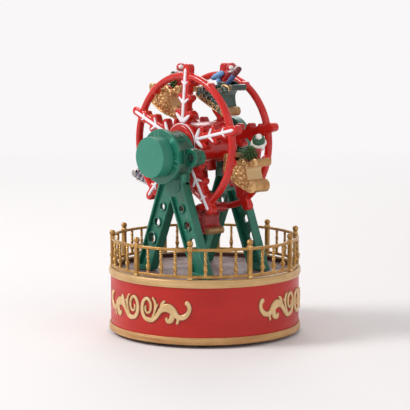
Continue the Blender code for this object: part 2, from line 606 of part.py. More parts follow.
def build_head():
    at = (0, 0, HEAD_Z)
    inner = CASE_R - CASE_T
    y_split = SPLIT_Y - GAP / 2
    bm = bmesh.new()
    add_turned(bm, [
        (2.4, CASE_FRONT_Y), (FLANGE_R - 0.6, CASE_FRONT_Y), (FLANGE_R, CASE_FRONT_Y + 0.6),
        (FLANGE_R, CASE_FRONT_Y + FLANGE_T - 0.4), (FLANGE_R - 0.4, CASE_FRONT_Y + FLANGE_T),
        (CASE_R, CASE_FRONT_Y + FLANGE_T), (CASE_R, y_split), (inner, y_split),
        (inner, CASE_FRONT_Y + 2.0), (2.4, CASE_FRONT_Y + 2.0)], 28, "Y", at)
    case = finish(bm, "head_case_front", "green_gloss")
    bm = bmesh.new()
    for sx in (-1, 1):
        x0, x1 = sorted((sx * FLANGE_FLAT, sx * (FLANGE_FLAT + 5)))
        add_box(bm, x0, x1, CASE_FRONT_Y - 1, CASE_FRONT_Y + FLANGE_T + 0.5, HEAD_Z - 20, HEAD_Z + 20)
    boolean(case, finish(bm, "cut_flange_flats"), "DIFFERENCE", "flange flats")
    bm = bmesh.new()
    for sx in (-1, 1):
        add_ear(bm, sx, EAR_R, SPLIT_Y - 5.0, y_split)
    boolean(case, finish(bm, "cut_front_ears"), "UNION", "front ears")
    bm = bmesh.new()
    add_rod(bm, 0.6, CASE_FRONT_Y + 1.0, -40.4, 8, "Y", (PAWL_AT[0], 0, HEAD_Z + PAWL_AT[1]))
    boolean(case, finish(bm, "cut_pawl_post"), "UNION", "pawl post")
    bm = bmesh.new()
    for sx in (-1, 1):
        add_turned(bm, [(0, SPLIT_Y - 6), (3.0, SPLIT_Y - 6), (3.0, SPLIT_Y - 2.6), (1.3, SPLIT_Y - 2.6),
                        (1.3, SPLIT_Y + 1), (0, SPLIT_Y + 1)], 16, "Y", (sx * EAR_X, 0, HEAD_Z))
    boolean(case, finish(bm, "cut_ear_bores"), "DIFFERENCE", "ear screw bores")

    for sx in (-1, 1):
        bm = bmesh.new()
        y = SPLIT_Y - 2.6 - GAP
        add_turned(bm, [(0, y - 1.3), (1.9, y - 1.3), (2.5, y - 0.8), (2.5, y), (1.0, y), (1.0, y + 5.2),
                        (0, y + 5.8)], 10, "Y", (sx * EAR_X, 0, HEAD_Z))
        finish(bm, "head_screw_%d" % (1 if sx < 0 else 2), "steel")

    y_cap = CASE_FRONT_Y - GAP
    bm = bmesh.new()
    add_turned(bm, [
        (0, CAP_FRONT_Y), (CAP_R - 0.8, CAP_FRONT_Y), (CAP_R, CAP_FRONT_Y + 0.8), (CAP_R, y_cap),
        (CAP_R - 1.8, y_cap), (CAP_R - 1.8, CAP_FRONT_Y + 2.0), (4.2, CAP_FRONT_Y + 2.0), (4.2, y_cap),
        (ARBOR_R + GAP, y_cap), (ARBOR_R + GAP, CAP_FRONT_Y + 3.2), (0, CAP_FRONT_Y + 3.2)],
        28, "Y", at)
    finish(bm, "winding_cap", "green_gloss")

    bm = bmesh.new()
    add_rod(bm, ARBOR_R, CAP_FRONT_Y + 3.2 + GAP, -28.9, 16, "Y", at)
    finish(bm, "winding_arbor", "steel")

    bm = bmesh.new()
    saw = []
    for i in range(12):
        for t, r in ((0.0, 5.2), (0.12, 4.1)):
            a = math.radians(30 * (i + t))
            saw.append((r * math.cos(a), HEAD_Z + r * math.sin(a)))
    add_prism(bm, saw, -41.6, -40.6)
    ratchet = finish(bm, "ratchet_wheel", "brass")
    bm = bmesh.new()
    add_rod(bm, ARBOR_R + GAP, -43, -39, 16, "Y", at)
    boolean(ratchet, finish(bm, "cut_ratchet_bore"), "DIFFERENCE", "bore")

    bm = bmesh.new()
    px, pz = PAWL_AT[0], HEAD_Z + PAWL_AT[1]
    pawl = [(px + 1.5 * math.cos(math.radians(a)), pz + 1.5 * math.sin(math.radians(a)))
            for a in (-60, -20, 20, 60, 100, 140)]
    pawl += [(px - 3.2, pz + 0.4), (px - 5.9, pz - 2.1), (px - 5.2, pz - 3.0), (px - 2.4, pz - 1.4)]
    add_prism(bm, [(x - px, z - pz) for x, z in pawl], -0.5, 0.5)
    click = finish(bm, "ratchet_pawl", "steel")
    bm = bmesh.new()
    add_rod(bm, 0.6 + GAP, -2, 2, 8, "Y")
    boolean(click, finish(bm, "cut_pawl_bore"), "DIFFERENCE", "bore")
    click.location = (px * MM, -41.1 * MM, pz * MM)

    y0, y1, y2 = -40.0, -33.5, -30.9
    rb = BARREL_R
    bm = bmesh.new()
    add_turned(bm, [(rb, y0), (rb, y1), (ARBOR_R + GAP, y1), (ARBOR_R + GAP, y1 - 1.2),
                    (rb - 1.2, y1 - 1.2), (rb - 1.2, y0)], 24, "Y", at)
    barrel = finish(bm, "spring_barrel", "brass")
    bm = bmesh.new()
    add_prism(bm, gear_outline(BARREL_TEETH, 90 + 180 / BARREL_TEETH, HEAD_Z), y1 - 0.6, y2)
    gear = finish(bm, "cut_barrel_gear")
    boolean(barrel, gear, "UNION", "gear")
    bm = bmesh.new()
    add_rod(bm, ARBOR_R + GAP, y1 - 3, y2 + 1, 16, "Y", at)
    boolean(barrel, finish(bm, "cut_barrel_bore"), "DIFFERENCE", "gear bore")

    bm = bmesh.new()
    inner_pts = []
    outer_pts = []
    steps = 42
    r_in, r_out = ARBOR_R + 0.5, rb - 1.2 - 1.0
    for i in range(steps + 1):
        t = i / steps
        a = 2 * math.pi * 4.5 * t
        r = r_in + (r_out - r_in) * t
        inner_pts.append((r * math.cos(a), HEAD_Z + r * math.sin(a)))
        outer_pts.append(((r + 0.5) * math.cos(a), HEAD_Z + (r + 0.5) * math.sin(a)))
    add_prism(bm, inner_pts + outer_pts[::-1], y0 + 0.3, y1 - 1.2 - GAP)
    finish(bm, "mainspring", "steel")


def gear_outline(teeth, turn, zc):
    pitch = GEAR_M * teeth / 2
    root = pitch - 0.8
    tip = pitch + 0.45
    pts = []
    for i in range(teeth):
        c = math.radians(turn + 360.0 * i / teeth)
        for off, r in ((-0.55, root), (-0.20, tip), (0.20, tip), (0.55, root)):
            a = c + off / r
            pts.append((r * math.cos(a), zc + r * math.sin(a)))
    return pts


# wheel
def arm_side(half, lengths, branch_half, start, tip):
    """One long edge of an arm with its slanting side branches, hub to tip."""
    s = math.radians(SLANT)
    cs, sn = math.cos(s), math.sin(s)
    pts = [(start, half)]
    for x0, length in sorted(zip(NODES, lengths)):
        h = branch_half
        t0 = (half - h * cs) / sn
        t1 = (half + h * cs) / sn
        a = (x0 - h * sn, h * cs)
        b = (x0 + h * sn, -h * cs)
        soft = h * 0.55
        end = max(length, t1 + 0.8)
        pts.append((a[0] + t0 * cs, half))
        if h > 1.0:
            pts.append((a[0] + (end - soft) * cs, a[1] + (end - soft) * sn))
        pts.append((x0 + end * cs, end * sn))
        if h > 1.0:
            pts.append((b[0] + (end - soft) * cs, b[1] + (end - soft) * sn))
        pts.append((b[0] + t1 * cs, half))
    for a in (90, 45):
        r = math.radians(a)
        pts.append((tip - half + half * math.cos(r), half * math.sin(r)))
    return pts


def star_outline(half, lengths, branch_half, tip, start):
    side = arm_side(half, lengths, branch_half, math.sqrt(start ** 2 - half ** 2), tip)
    shape = [(x, -z) for x, z in side] + [(tip, 0)] + side[::-1]
    out = []
    for k in range(5):
        a = math.radians(PHASE + 90 + 72 * k)
        for x, z in shape:
            out.append((x * math.cos(a) - z * math.sin(a), AXLE_Z + x * math.sin(a) + z * math.cos(a)))
        edge = math.degrees(math.asin(half / start))
        for i in (1, 2):
            b = a + math.radians(edge + (72 - 2 * edge) * i / 3)
            out.append((start * math.cos(b), AXLE_Z + start * math.sin(b)))
    return out


def build_rim(name, side):
    def y(d):
        return MID_Y + side * (PLATE_OUT - d)

    bm = bmesh.new()
    add_prism(bm, star_outline(ARM_W / 2, BRANCH, 2.5, ARM_TIP, 15.2), y(0), y(PLATE_T))
    rim = finish(bm, name, "red_gloss")
    bm = bmesh.new()
    ring = []
    for i in range(6):
        a = math.radians(60 * i)
        ring.append((RIM_R + RIM_TUBE * math.cos(a), y(PLATE_T / 2) + RIM_TUBE * math.sin(a)))
    add_turned(bm, ring, 40, "Y", (0, 0, AXLE_Z))
    boolean(rim, finish(bm, "cut_ring_" + name), "UNION", "round rim")
    bm = bmesh.new()
    for k in range(5):
        x, z = axle_point(RIM_R, PHASE + 90 + 72 * k + PIN_TURN)
        add_rod(bm, 2.9, y(PLATE_T / 2), y(PLATE_T + 0.8), 10, "Y", (x, 0, z))
    boolean(rim, finish(bm, "cut_hub_" + name), "UNION", "pin bosses")
    bm = bmesh.new()
    add_rod(bm, AXLE_R + GAP, y(-4), y(PLATE_T + 4), 12, "Y", (0, 0, AXLE_Z))
    for k in range(5):
        x, z = axle_point(RIM_R, PHASE + 90 + 72 * k + PIN_TURN)
        add_rod(bm, PIN_R + GAP, y(PLATE_T / 2 - 0.8), y(PLATE_T + 2), 8, "Y", (x, 0, z))
    boolean(rim, finish(bm, "cut_bores_" + name), "DIFFERENCE", "bores")

    at = (0, 0, AXLE_Z)
    bm = bmesh.new()
    add_prism(bm, star_outline(0.95, [v - 1.6 for v in BRANCH], 0.8, INLAY_TIP, HUB_R - 1.0),
              y(-GAP), y(-GAP - INLAY_T))
    inlay = finish(bm, name + "_inlay", "white_paint")
    bm = bmesh.new()
    add_rod(bm, AXLE_R + GAP, y(-4), y(4), 12, "Y", at)
    boolean(inlay, finish(bm, "cut_bore_%s_inlay" % name), "DIFFERENCE", "bore")
    bm = bmesh.new()
    near, far = y(-2 * GAP - INLAY_T), y(-2 * GAP - INLAY_T - HUB_T)
    add_turned(bm, [(AXLE_R + GAP, near), (HUB_R, near), (HUB_R, near + (far - near) * 0.5),
                    (HUB_R - 0.6, far), (AXLE_R + GAP, far)], 28, "Y", at)
    finish(bm, name + "_hub_cap", "red_gloss")


def build_wheel():
    build_rim("front_rim", -1)
    build_rim("rear_rim", 1)
    inside = PLATE_OUT - PLATE_T - GAP
    at = (0, 0, AXLE_Z)
    bm = bmesh.new()
    add_turned(bm, [
        (AXLE_R + GAP, MID_Y - inside), (DRUM_R - 0.8, MID_Y - inside), (DRUM_R, MID_Y - inside + 0.8),
        (DRUM_R, MID_Y + inside - 0.8), (DRUM_R - 0.8, MID_Y + inside), (AXLE_R + GAP, MID_Y + inside)],
        32, "Y", at)
    finish(bm, "centre_drum", "red_gloss")

    y_front = -33.1
    y_back = MID_Y + STAND_OUT - 2.2 - GAP
    bm = bmesh.new()
    add_turned(bm, [(0, y_front), (1.0, y_front), (1.0, -29.6), (AXLE_R, -29.6), (AXLE_R, y_back),
                    (0, y_back)], 12, "Y", at)
    finish(bm, "wheel_axle", "steel")

    bm = bmesh.new()
    add_prism(bm, gear_outline(PINION_TEETH, 270, AXLE_Z), -33.0, -31.1)
    pinion = finish(bm, "axle_pinion", "brass")
    bm = bmesh.new()
    add_rod(bm, 1.0 + GAP, -36, -29, 16, "Y", at)
    boolean(pinion, finish(bm, "cut_pinion_bore"), "DIFFERENCE", "bore")

    for name, y0, y1 in (("front_bush", MID_Y - STAND_OUT + STAND_D - 2.0, MID_Y - STAND_OUT + STAND_D + 0.4),
                         ("rear_bush", MID_Y + STAND_OUT - STAND_D - 0.4, MID_Y + STAND_OUT - 2.6)):
        bm = bmesh.new()
        add_turned(bm, [(AXLE_R + GAP, y0), (3.9, y0), (3.9, y1), (AXLE_R + GAP, y1)], 12, "Y", at)
        finish(bm, name, "brass")


# sleighs
def arc_points(centre, r, start, end, count):
    """Points on an arc, from start to end degrees."""
    out = []
    for i in range(count):
        a = math.radians(start + (end - start) * i / (count - 1))
        out.append((centre[0] + r * math.cos(a), centre[1] + r * math.sin(a)))
    return out


def sleigh_outline():
    """Bottom, nose roll, curved dashboard, top roll, side with its ear, and back scroll."""
    pts = [(-1.2, 5.0), (0.6, 0.8), (3.0, 0.0)]
    pts += arc_points(NOSE_AT, NOSE_R, -90, 104, 7)
    pts += [(23.6, 11.2), (22.5, 14.0), (22.9, 17.0)]
    pts += arc_points(ROLL_AT, ROLL_R, -112, 158, 8)
    pts += [(20.6, 20.2)]
    pts += arc_points(PIN_AT, EAR_W, 35, 145, 5)
    pts += [(10.6, 16.2), (7.0, 14.6), (3.4, 14.5)]
    pts += arc_points(BACK_AT, BACK_R, 40, 240, 6)
    pts += [(-1.9, 9.6)]
    return [(x - PIN_AT[0], z - PIN_AT[1]) for x, z in pts]


def build_sleigh(index, slot):
    half = SLEIGH_W / 2
    inner = half - SLEIGH_WALL
    bm = bmesh.new()
    add_prism(bm, sleigh_outline(), -half, half)
    sleigh = finish(bm, "sleigh_%d" % index, slot)
    bm = bmesh.new()
    hollow = [(2.0, SLEIGH_FLOOR), (21.4, SLEIGH_FLOOR), (21.8, 8.0), (20.8, 13.0), (21.0, 18.0),
              (22.0, 27.0), (3.6, 27.0), (2.2, 14.0)]
    add_prism(bm, [(x - PIN_AT[0], z - PIN_AT[1]) for x, z in hollow], -inner, inner)
    boolean(sleigh, finish(bm, "cut_hollow_%d" % index), "DIFFERENCE", "hollow")
    # trunnions that turn in the bosses of the two rims
    bm = bmesh.new()
    reach = PLATE_OUT - PLATE_T / 2 + 0.5
    for side in (-1, 1):
        add_rod(bm, PIN_R, side * (half - 0.7), side * reach, 8, "Y")
    boolean(sleigh, finish(bm, "cut_trunnions_%d" % index), "UNION", "trunnions")
    place(sleigh, index)
    return sleigh


def place(ob, index):
    x, z = axle_point(RIM_R, PHASE + 90 + PIN_TURN + (0, -72, -144, -216, -288)[index - 1])
    ob.location = (x * MM, MID_Y * MM, z * MM)
    ob.rotation_euler = (0, math.radians(TILTS[index - 1]), 0)


def add_leaning(bm, profile, steps, foot, head):
    """A turned shape whose own axis runs from foot to head."""
    verts = add_turned(bm, profile, steps, "Z")
    a = Vector(foot)
    b = Vector(head)
    turn = Vector((0, 0, 1)).rotation_difference((b - a).normalized()).to_matrix().to_4x4()
    move(bm, verts, Matrix.Translation(a) @ turn)


FIGURE = [(0, 0), (2.9, 0), (3.2, 4.0), (3.0, 13.0), (3.5, 18.6), (3.0, 22.6), (2.2, 24.6), (3.6, 27.2),
          (4.2, 30.2), (3.4, 33.0), (1.9, 34.4), (0, 35.0)]
TREE = [(0, 0), (1.3, 0), (1.4, 8.0), (2.3, 9.0), (1.8, 13.0), (2.3, 14.0), (1.7, 19.6), (4.3, 20.2),
        (2.3, 23.4), (3.2, 24.0), (0, 29.5)]


def build_cargo():
    floor = SLEIGH_FLOOR + GAP - PIN_AT[1]
    cargo = (
        ("figure_1", 1, "red_paint", FIGURE, 10, 1.0, (4.2, 2.9, 18.0)),
        ("tree_1", 1, "tree_green", TREE, 8, 0.95, (-5.4, -4.2, 12.0)),
        ("figure_2", 2, "red_paint", FIGURE, 10, 0.96, (-1.3, 2.9, 18.0)),
        ("figure_3", 3, "white_paint", FIGURE, 10, 1.0, (5.2, 2.9, 18.0)),
        ("tree_3", 3, "tree_green", TREE, 8, 1.0, (-4.6, -4.2, 12.0)),
        ("figure_4", 4, "white_paint", FIGURE, 10, 0.9, (1.0, 0.6, 18.0)),
        ("tree_5", 5, "tree_green", TREE, 8, 1.15, (0.4, 0.4, 14.0)),
    )
    for name, index, slot, profile, steps, size, head in cargo:
        bm = bmesh.new()
        foot = (-0.8 if head[0] > 0 else head[0] * 0.8, head[1] * 0.76, floor)
        add_leaning(bm, [(r * size, h * size) for r, h in profile], steps, foot, head)
        settle(bm, floor)
        place(finish(bm, name, slot), index)
    boxes = (
        ("gift_2", 2, "blue_paint", (4.4, 4.0), (-7.4, -3.3, floor), (-3.6, -3.3, 7.4)),
        ("stocking_2", 2, "blue_paint", (3.2, 3.2), (2.6, -3.6, floor), (6.6, -3.6, 17.2)),
    )
    for name, index, slot, size, foot, head in boxes:
        bm = bmesh.new()
        sx, sy = (v / 2 for v in size)
        c = 0.7
        rows = []
        for t, k in ((0.0, 0.9), (0.66, 0.9), (0.72, 1.1), (1.0, 1.1)):
            x0, y0, z0 = (f + (h - f) * t for f, h in zip(foot, head))
            rows.append([bm.verts.new((x0 + x * k, y0 + y * k, z0)) for x, y in
                         ((sx, sy - c), (sx - c, sy), (c - sx, sy), (-sx, sy - c), (-sx, c - sy),
                          (c - sx, -sy), (sx - c, -sy), (sx, c - sy))])
        bm.faces.new(rows[0][::-1])
        bm.faces.new(rows[-1])
        for lower, upper in zip(rows, rows[1:]):
            for i in range(8):
                j = (i + 1) % 8
                bm.faces.new((lower[i], lower[j], upper[j], upper[i]))
        place(finish(bm, name, slot), index)


def settle(bm, floor):
    """Lift a leaning shape until its lowest point lies on the sleigh's floor."""
    low = min(v.co.z for v in bm.verts)
    move(bm, bm.verts[:], Matrix.Translation((0, 0, floor - low)))


def build_stand_screws():
    number = 0
    for sx in (-1, 1):
        for y in foot_screw_y():
            number += 1
            z = DECK_Z - DECK_T - GAP
            bm = bmesh.new()
            add_turned(bm, [(0, z - 1.4), (1.9, z - 1.4), (2.4, z - 0.8), (2.4, z), (1.0, z),
                            (1.0, DECK_Z + 4.4), (0, DECK_Z + 4.8)], 8, "Z",
                       (sx * foot_screw_x(), y, 0))
            finish(bm, "stand_screw_%d" % number, "steel")


def hang_on_axis(name, z, pieces):
    """An empty on a turning axis that carries the pieces that turn about it."""
    axis = bpy.data.objects.new(name, None)
    main.objects.link(axis)
    axis.location = (0, MID_Y * MM, z * MM)
    bpy.context.view_layer.update()
    for piece in pieces:
        ob = bpy.data.objects[piece]
        ob.parent = axis
        ob.matrix_parent_inverse = axis.matrix_world.inverted()


build_plinth()
build_fence()
build_stand("front_stand", -1, HEAD_Z)
build_stand("rear_stand", 1, AXLE_Z)
build_head()
build_wheel()
for number, slot in enumerate(("gold_paint", "dark_green_paint", "gold_paint", "red_paint", "purple_paint"), 1):
    build_sleigh(number, slot)
build_cargo()
build_stand_screws()
hang_on_axis("wheel_axis", AXLE_Z, ("front_rim", "rear_rim", "front_rim_inlay", "rear_rim_inlay",
                                    "front_rim_hub_cap", "rear_rim_hub_cap", "centre_drum", "wheel_axle",
                                    "axle_pinion"))
hang_on_axis("winder_axis", HEAD_Z, ("winding_cap", "winding_arbor", "ratchet_wheel"))
hang_on_axis("barrel_axis", HEAD_Z, ("spring_barrel", "mainspring"))
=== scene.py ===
"""Looks of the table ferris wheel: red and gold plinth, bronze fence, green
stands and drive head, red snowflake wheel, and five hanging sleighs."""
import bpy
import bmesh
import math
import numpy as np
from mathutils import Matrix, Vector


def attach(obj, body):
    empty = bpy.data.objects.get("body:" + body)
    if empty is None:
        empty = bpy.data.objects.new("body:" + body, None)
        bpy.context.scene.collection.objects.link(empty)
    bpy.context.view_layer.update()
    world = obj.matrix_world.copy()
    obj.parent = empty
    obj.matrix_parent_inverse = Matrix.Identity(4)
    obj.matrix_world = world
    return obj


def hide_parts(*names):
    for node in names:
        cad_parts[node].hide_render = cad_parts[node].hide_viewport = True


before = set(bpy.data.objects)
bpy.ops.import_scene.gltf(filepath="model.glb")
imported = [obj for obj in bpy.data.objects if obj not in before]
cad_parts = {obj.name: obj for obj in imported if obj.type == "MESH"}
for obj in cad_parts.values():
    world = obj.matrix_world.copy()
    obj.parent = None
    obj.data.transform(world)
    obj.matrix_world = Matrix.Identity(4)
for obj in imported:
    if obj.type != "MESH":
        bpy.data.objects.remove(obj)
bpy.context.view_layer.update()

# sizes in millimetres, angles in degrees
MM = 0.001
FOOT_H = 2.5        # the plinth stands on rubber feet
WALL_R = 68.8
BAND_R = 70.0
LOW_TOP = 7.7       # upper edge of the low band
BAND_LOW = 42.3     # lower edge of the top band
RIM_Z = 47.9
DECK_Z = 44.5
FENCE_R = 67.7
FENCE_TURN = -52.8
BAY = 9.0           # from one upright of the fence to the next
MID_Y = -2.0        # middle plane of the wheel
AXLE_Z = 138.3
PHASE = -5.0        # turn of the first arm from upright
RIM_R = 48.1
RIM_TUBE = 2.7
PLATE_OUT = 21.5    # outer face of a rim from the middle plane
PLATE_T = 6.2
STAND_OUT = 32.2    # outer face of a stand from the middle plane
STAND_D = 7.6
HEAD_Z = 129.9
PIN_AT = (14.8, 18.2)   # pin in a sleigh's (u, w)
TILTS = (14.0, 26.0, 16.0, 14.0, 15.0)


# camera, lamps and floor

def link(ob):
    bpy.context.scene.collection.objects.link(ob)
    return ob


def build_studio():
    side, pitch = math.radians(45.81), math.radians(6.86)   # the camera's turn and its look down
    cam = link(bpy.data.objects.new("camera", bpy.data.cameras.new("camera")))
    bpy.context.scene.camera = cam
    cam.data.sensor_width = 36.0
    cam.data.lens = 133.7
    cam.data.clip_start = 0.05
    cam.location = (0.7899, -0.7677, 0.2244)
    look = Vector((-math.sin(side) * math.cos(pitch), math.cos(side) * math.cos(pitch), -math.sin(pitch)))
    cam.rotation_euler = look.to_track_quat("-Z", "Y").to_euler()

    floor_mat = bpy.data.materials.new("pale_floor")
    floor_mat.use_nodes = True
    tree = floor_mat.node_tree
    shader = tree.nodes["Principled BSDF"]
    shader.inputs["Base Color"].default_value = (0.80, 0.775, 0.775, 1)
    shader.inputs["Roughness"].default_value = 0.85
    # behind the object the sheet is a plain bright wall to the camera, to gloss and through glass
    bright = tree.nodes.new("ShaderNodeEmission")
    bright.inputs["Color"].default_value = (0.955, 0.93, 0.94, 1)
    rays = tree.nodes.new("ShaderNodeLightPath")
    seen = math_node(tree, "ADD", rays.outputs["Is Camera Ray"], rays.outputs["Is Glossy Ray"], True)
    seen = math_node(tree, "ADD", seen, rays.outputs["Is Transmission Ray"], True)
    split = tree.nodes.new("ShaderNodeSeparateXYZ")
    tree.links.new(tree.nodes.new("ShaderNodeTexCoord").outputs["Object"], split.inputs[0])
    back = math_node(tree, "ADD", math_node(tree, "MULTIPLY", split.outputs["X"], -math.sin(side)),
                     math_node(tree, "MULTIPLY", split.outputs["Y"], math.cos(side)))
    seen = math_node(tree, "MULTIPLY", seen, ramp(tree, back, 0.25, 1.7))
    both = tree.nodes.new("ShaderNodeMixShader")
    for socket, source in zip(both.inputs, (seen, shader.outputs[0], bright.outputs[0])):
        tree.links.new(source, socket)
    tree.links.new(both.outputs[0], tree.nodes["Material Output"].inputs["Surface"])
    # one sheet: flat floor, a quarter round behind, and a wall, in metres
    bend = np.linspace(0, math.pi / 2, 17)
    depth = np.concatenate([[-3.0], 2.2 + 0.8 * np.sin(bend), [3.0]])
    height = np.concatenate([[0.0], 0.8 - 0.8 * np.cos(bend), [4.0]])
    u, d = np.meshgrid(np.linspace(-3.0, 3.0, 25), np.arange(len(depth)), indexing="ij")
    run, up = depth[d], height[d]
    c, s = math.cos(side), math.sin(side)
    points = np.stack([u * c - run * s, u * s + run * c, up], -1)
    mesh = bpy.data.meshes.new("floor")
    mesh.from_pydata(points.reshape(-1, 3).tolist(), [], grid_faces(*u.shape)[:, ::-1].tolist())
    mesh.materials.append(floor_mat)
    mesh.shade_smooth()
    link(bpy.data.objects.new("floor", mesh))

    for label, where, size, power in (
            ("key", (-0.75, -1.15, 1.25), 0.55, 21.0),
            ("fill", (1.5, 0.1, 0.8), 1.0, 4.0),
            ("back", (-0.9, 0.9, 1.2), 0.8, 7.0)):
        lamp = link(bpy.data.objects.new(label, bpy.data.lights.new(label, "AREA")))
        lamp.data.size = size
        lamp.data.energy = power
        lamp.location = where
        lamp.rotation_euler = (Vector((0, 0, 0.09)) - lamp.location).to_track_quat("-Z", "Y").to_euler()
    world = bpy.context.scene.world or bpy.data.worlds.new("room")
    bpy.context.scene.world = world
    world.use_nodes = True
    world.node_tree.nodes["Background"].inputs["Color"].default_value = (1.0, 0.99, 0.985, 1)
    world.node_tree.nodes["Background"].inputs["Strength"].default_value = 0.60
    bpy.context.scene.view_settings.view_transform = "Standard"


# surfaces

def grid_faces(rows, cols, wrap_rows=False, wrap_cols=False):
    """Quads of a rows by cols grid of points: (i, j), (i+1, j), (i+1, j+1), (i, j+1)."""
    i, j = np.meshgrid(np.arange(rows if wrap_rows else rows - 1),
                       np.arange(cols if wrap_cols else cols - 1), indexing="ij")
    i2, j2 = (i + 1) % rows, (j + 1) % cols
    return np.stack([i * cols + j, i2 * cols + j, i2 * cols + j2, i * cols + j2], -1).reshape(-1, 4)


class Shape:
    """Points in millimetres and faces, gathered from several surfaces."""

    def __init__(self):
        self.points, self.faces, self.count = [], [], 0

    def add(self, points, faces):
        points = np.asarray(points, float).reshape(-1, 3)
        self.points.append(points)
        self.faces += [[int(k) + self.count for k in face] for face in faces]
        self.count += len(points)
        return self

    def join(self, other, matrix=None, shift=(0, 0, 0)):
        points = np.concatenate(other.points)
        if matrix is not None:
            points = points @ np.asarray(matrix).T
        return self.add(points + np.asarray(shift), other.faces)


def capped(points, rows, cols):
    """A tube from a rows by cols grid of points, with a face over each end."""
    shape = Shape().add(points, grid_faces(rows, cols, False, True))
    shape.faces += [list(range(cols))[::-1], list(range((rows - 1) * cols, rows * cols))]
    return shape


def make(shape, name, body, finish, nodes=(), sharp=40.0):
    """A mesh object in metres from a Shape, with doubles merged and faces turned outwards. finish names its
    material."""
    mesh = bpy.data.meshes.new(name)
    mesh.from_pydata((np.concatenate(shape.points) * MM).tolist(), [], shape.faces)
    bm = bmesh.new()
    bm.from_mesh(mesh)
    bmesh.ops.remove_doubles(bm, verts=bm.verts, dist=0.000002)
    bmesh.ops.dissolve_degenerate(bm, edges=bm.edges, dist=0.0000005)
    bmesh.ops.recalc_face_normals(bm, faces=bm.faces)
    bm.to_mesh(mesh)
    bm.free()
    mesh.shade_smooth()
    mesh.set_sharp_from_angle(angle=math.radians(sharp))
    mesh.materials.append(FINISHES[finish])
    ob = link(bpy.data.objects.new(name, mesh))
    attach(ob, body)
    if nodes:
        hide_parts(*nodes)
    return ob


def soften(line, radius, closed=True, steps=4):
    """Round corners: corner B becomes (1-t)^2 A + 2t(1-t) B + t^2 C, where A and C lie radius away
    from B along its two sides."""
    line = np.asarray(line, float)
    back = np.roll(line, 1, 0) - line
    ahead = np.roll(line, -1, 0) - line
    lb = np.linalg.norm(back, axis=1, keepdims=True)
    la = np.linalg.norm(ahead, axis=1, keepdims=True)
    reach = np.broadcast_to(np.reshape(radius, (-1, 1)), lb.shape).copy()
    if not closed:
        reach[0] = reach[-1] = 0
    a = line + back / lb * np.minimum(reach, lb * 0.48)
    c = line + ahead / la * np.minimum(reach, la * 0.48)
    t = np.linspace(0, 1, steps + 1)[None, :, None]
    out = (1 - t) ** 2 * a[:, None] + 2 * t * (1 - t) * line[:, None] + t * t * c[:, None]
    out = out.reshape(-1, line.shape[1])
    keep = np.ones(len(out), bool)
    keep[1:] = np.linalg.norm(np.diff(out, axis=0), axis=1) > 1e-6
    return out[keep]


def spline(points, samples):
    """Smooth line through the points: on each span the cubic with slopes (next - last) / 2."""
    p = np.asarray(points, float)
    ext = np.vstack([2 * p[0] - p[1], p, 2 * p[-1] - p[-2]])
    a, b, c, d = ext[:-3], ext[1:-2], ext[2:-1], ext[3:]
    t = (np.arange(samples) / samples)[None, :, None]
    a, b, c, d = (v[:, None] for v in (a, b, c, d))
    out = 0.5 * (2 * b + (c - a) * t + (2 * a - 5 * b + 4 * c - d) * t ** 2
                 + (3 * b - a - 3 * c + d) * t ** 3)
    return np.vstack([out.reshape(-1, p.shape[1]), p[-1:]])


def turned(profile, sides=96, axis="Z", at=(0, 0, 0), change=None, arc=None):
    """Solid of revolution: (r, h) of the profile at angle a gives (r cos a, r sin a, h), with the third
    axis laid along the axis asked for. change(r, h, a) may return a new r."""
    profile = np.asarray(profile, float)
    low, high = (0.0, 360.0) if arc is None else arc
    a = np.radians(np.linspace(low, high, sides, endpoint=arc is not None))
    r, a2 = np.meshgrid(profile[:, 0], a, indexing="ij")
    h, _ = np.meshgrid(profile[:, 1], a, indexing="ij")
    if change is not None:
        r = change(r, h, a2)
    x, y = r * np.cos(a2), r * np.sin(a2)
    points = np.stack([x, y, h] if axis == "Z" else [x, h, y], -1) + np.asarray(at)
    open_ends = profile[0, 0] < 1e-9 and profile[-1, 0] < 1e-9
    faces = grid_faces(len(profile), sides, not open_ends, arc is None)
    shape = Shape().add(points, faces)
    if arc is not None:
        n = len(profile)
        shape.faces += [[i * sides for i in range(n)], [i * sides + sides - 1 for i in range(n)][::-1]]
    return shape


def frames(path):
    """Unit tangents of a path of points, by central differences."""
    tangent = np.gradient(path, axis=0)
    return tangent / np.maximum(np.linalg.norm(tangent, axis=1, keepdims=True), 1e-9)


def carried(path, section, up=(0, 0, 1), scale=None, closed=False):
    """A section (a, b) carried along a path: point = path + a * side + b * top, where side is the tangent
    crossed with up, and top is side crossed with the tangent. scale grows it at each path point."""
    path, section = np.asarray(path, float), np.asarray(section, float)
    if closed:
        t = np.roll(path, -1, 0) - np.roll(path, 1, 0)
        t /= np.linalg.norm(t, axis=1, keepdims=True)
    else:
        t = frames(path)
    side = np.cross(t, np.asarray(up, float))
    side /= np.maximum(np.linalg.norm(side, axis=1, keepdims=True), 1e-9)
    top = np.cross(side, t)
    grow = np.ones(len(path)) if scale is None else np.asarray(scale, float)
    grow = grow[:, None, None]
    points = (path[:, None] + grow * (section[None, :, :1] * side[:, None]
                                      + section[None, :, 1:] * top[:, None]))
    if closed:
        return Shape().add(points, grid_faces(len(path), len(section), True, True))
    return capped(points, len(path), len(section))


def round_section(r, sides=12, flat=1.0):
    a = np.linspace(0, 2 * math.pi, sides, endpoint=False)
    return np.stack([r * np.cos(a), r * flat * np.sin(a)], -1)


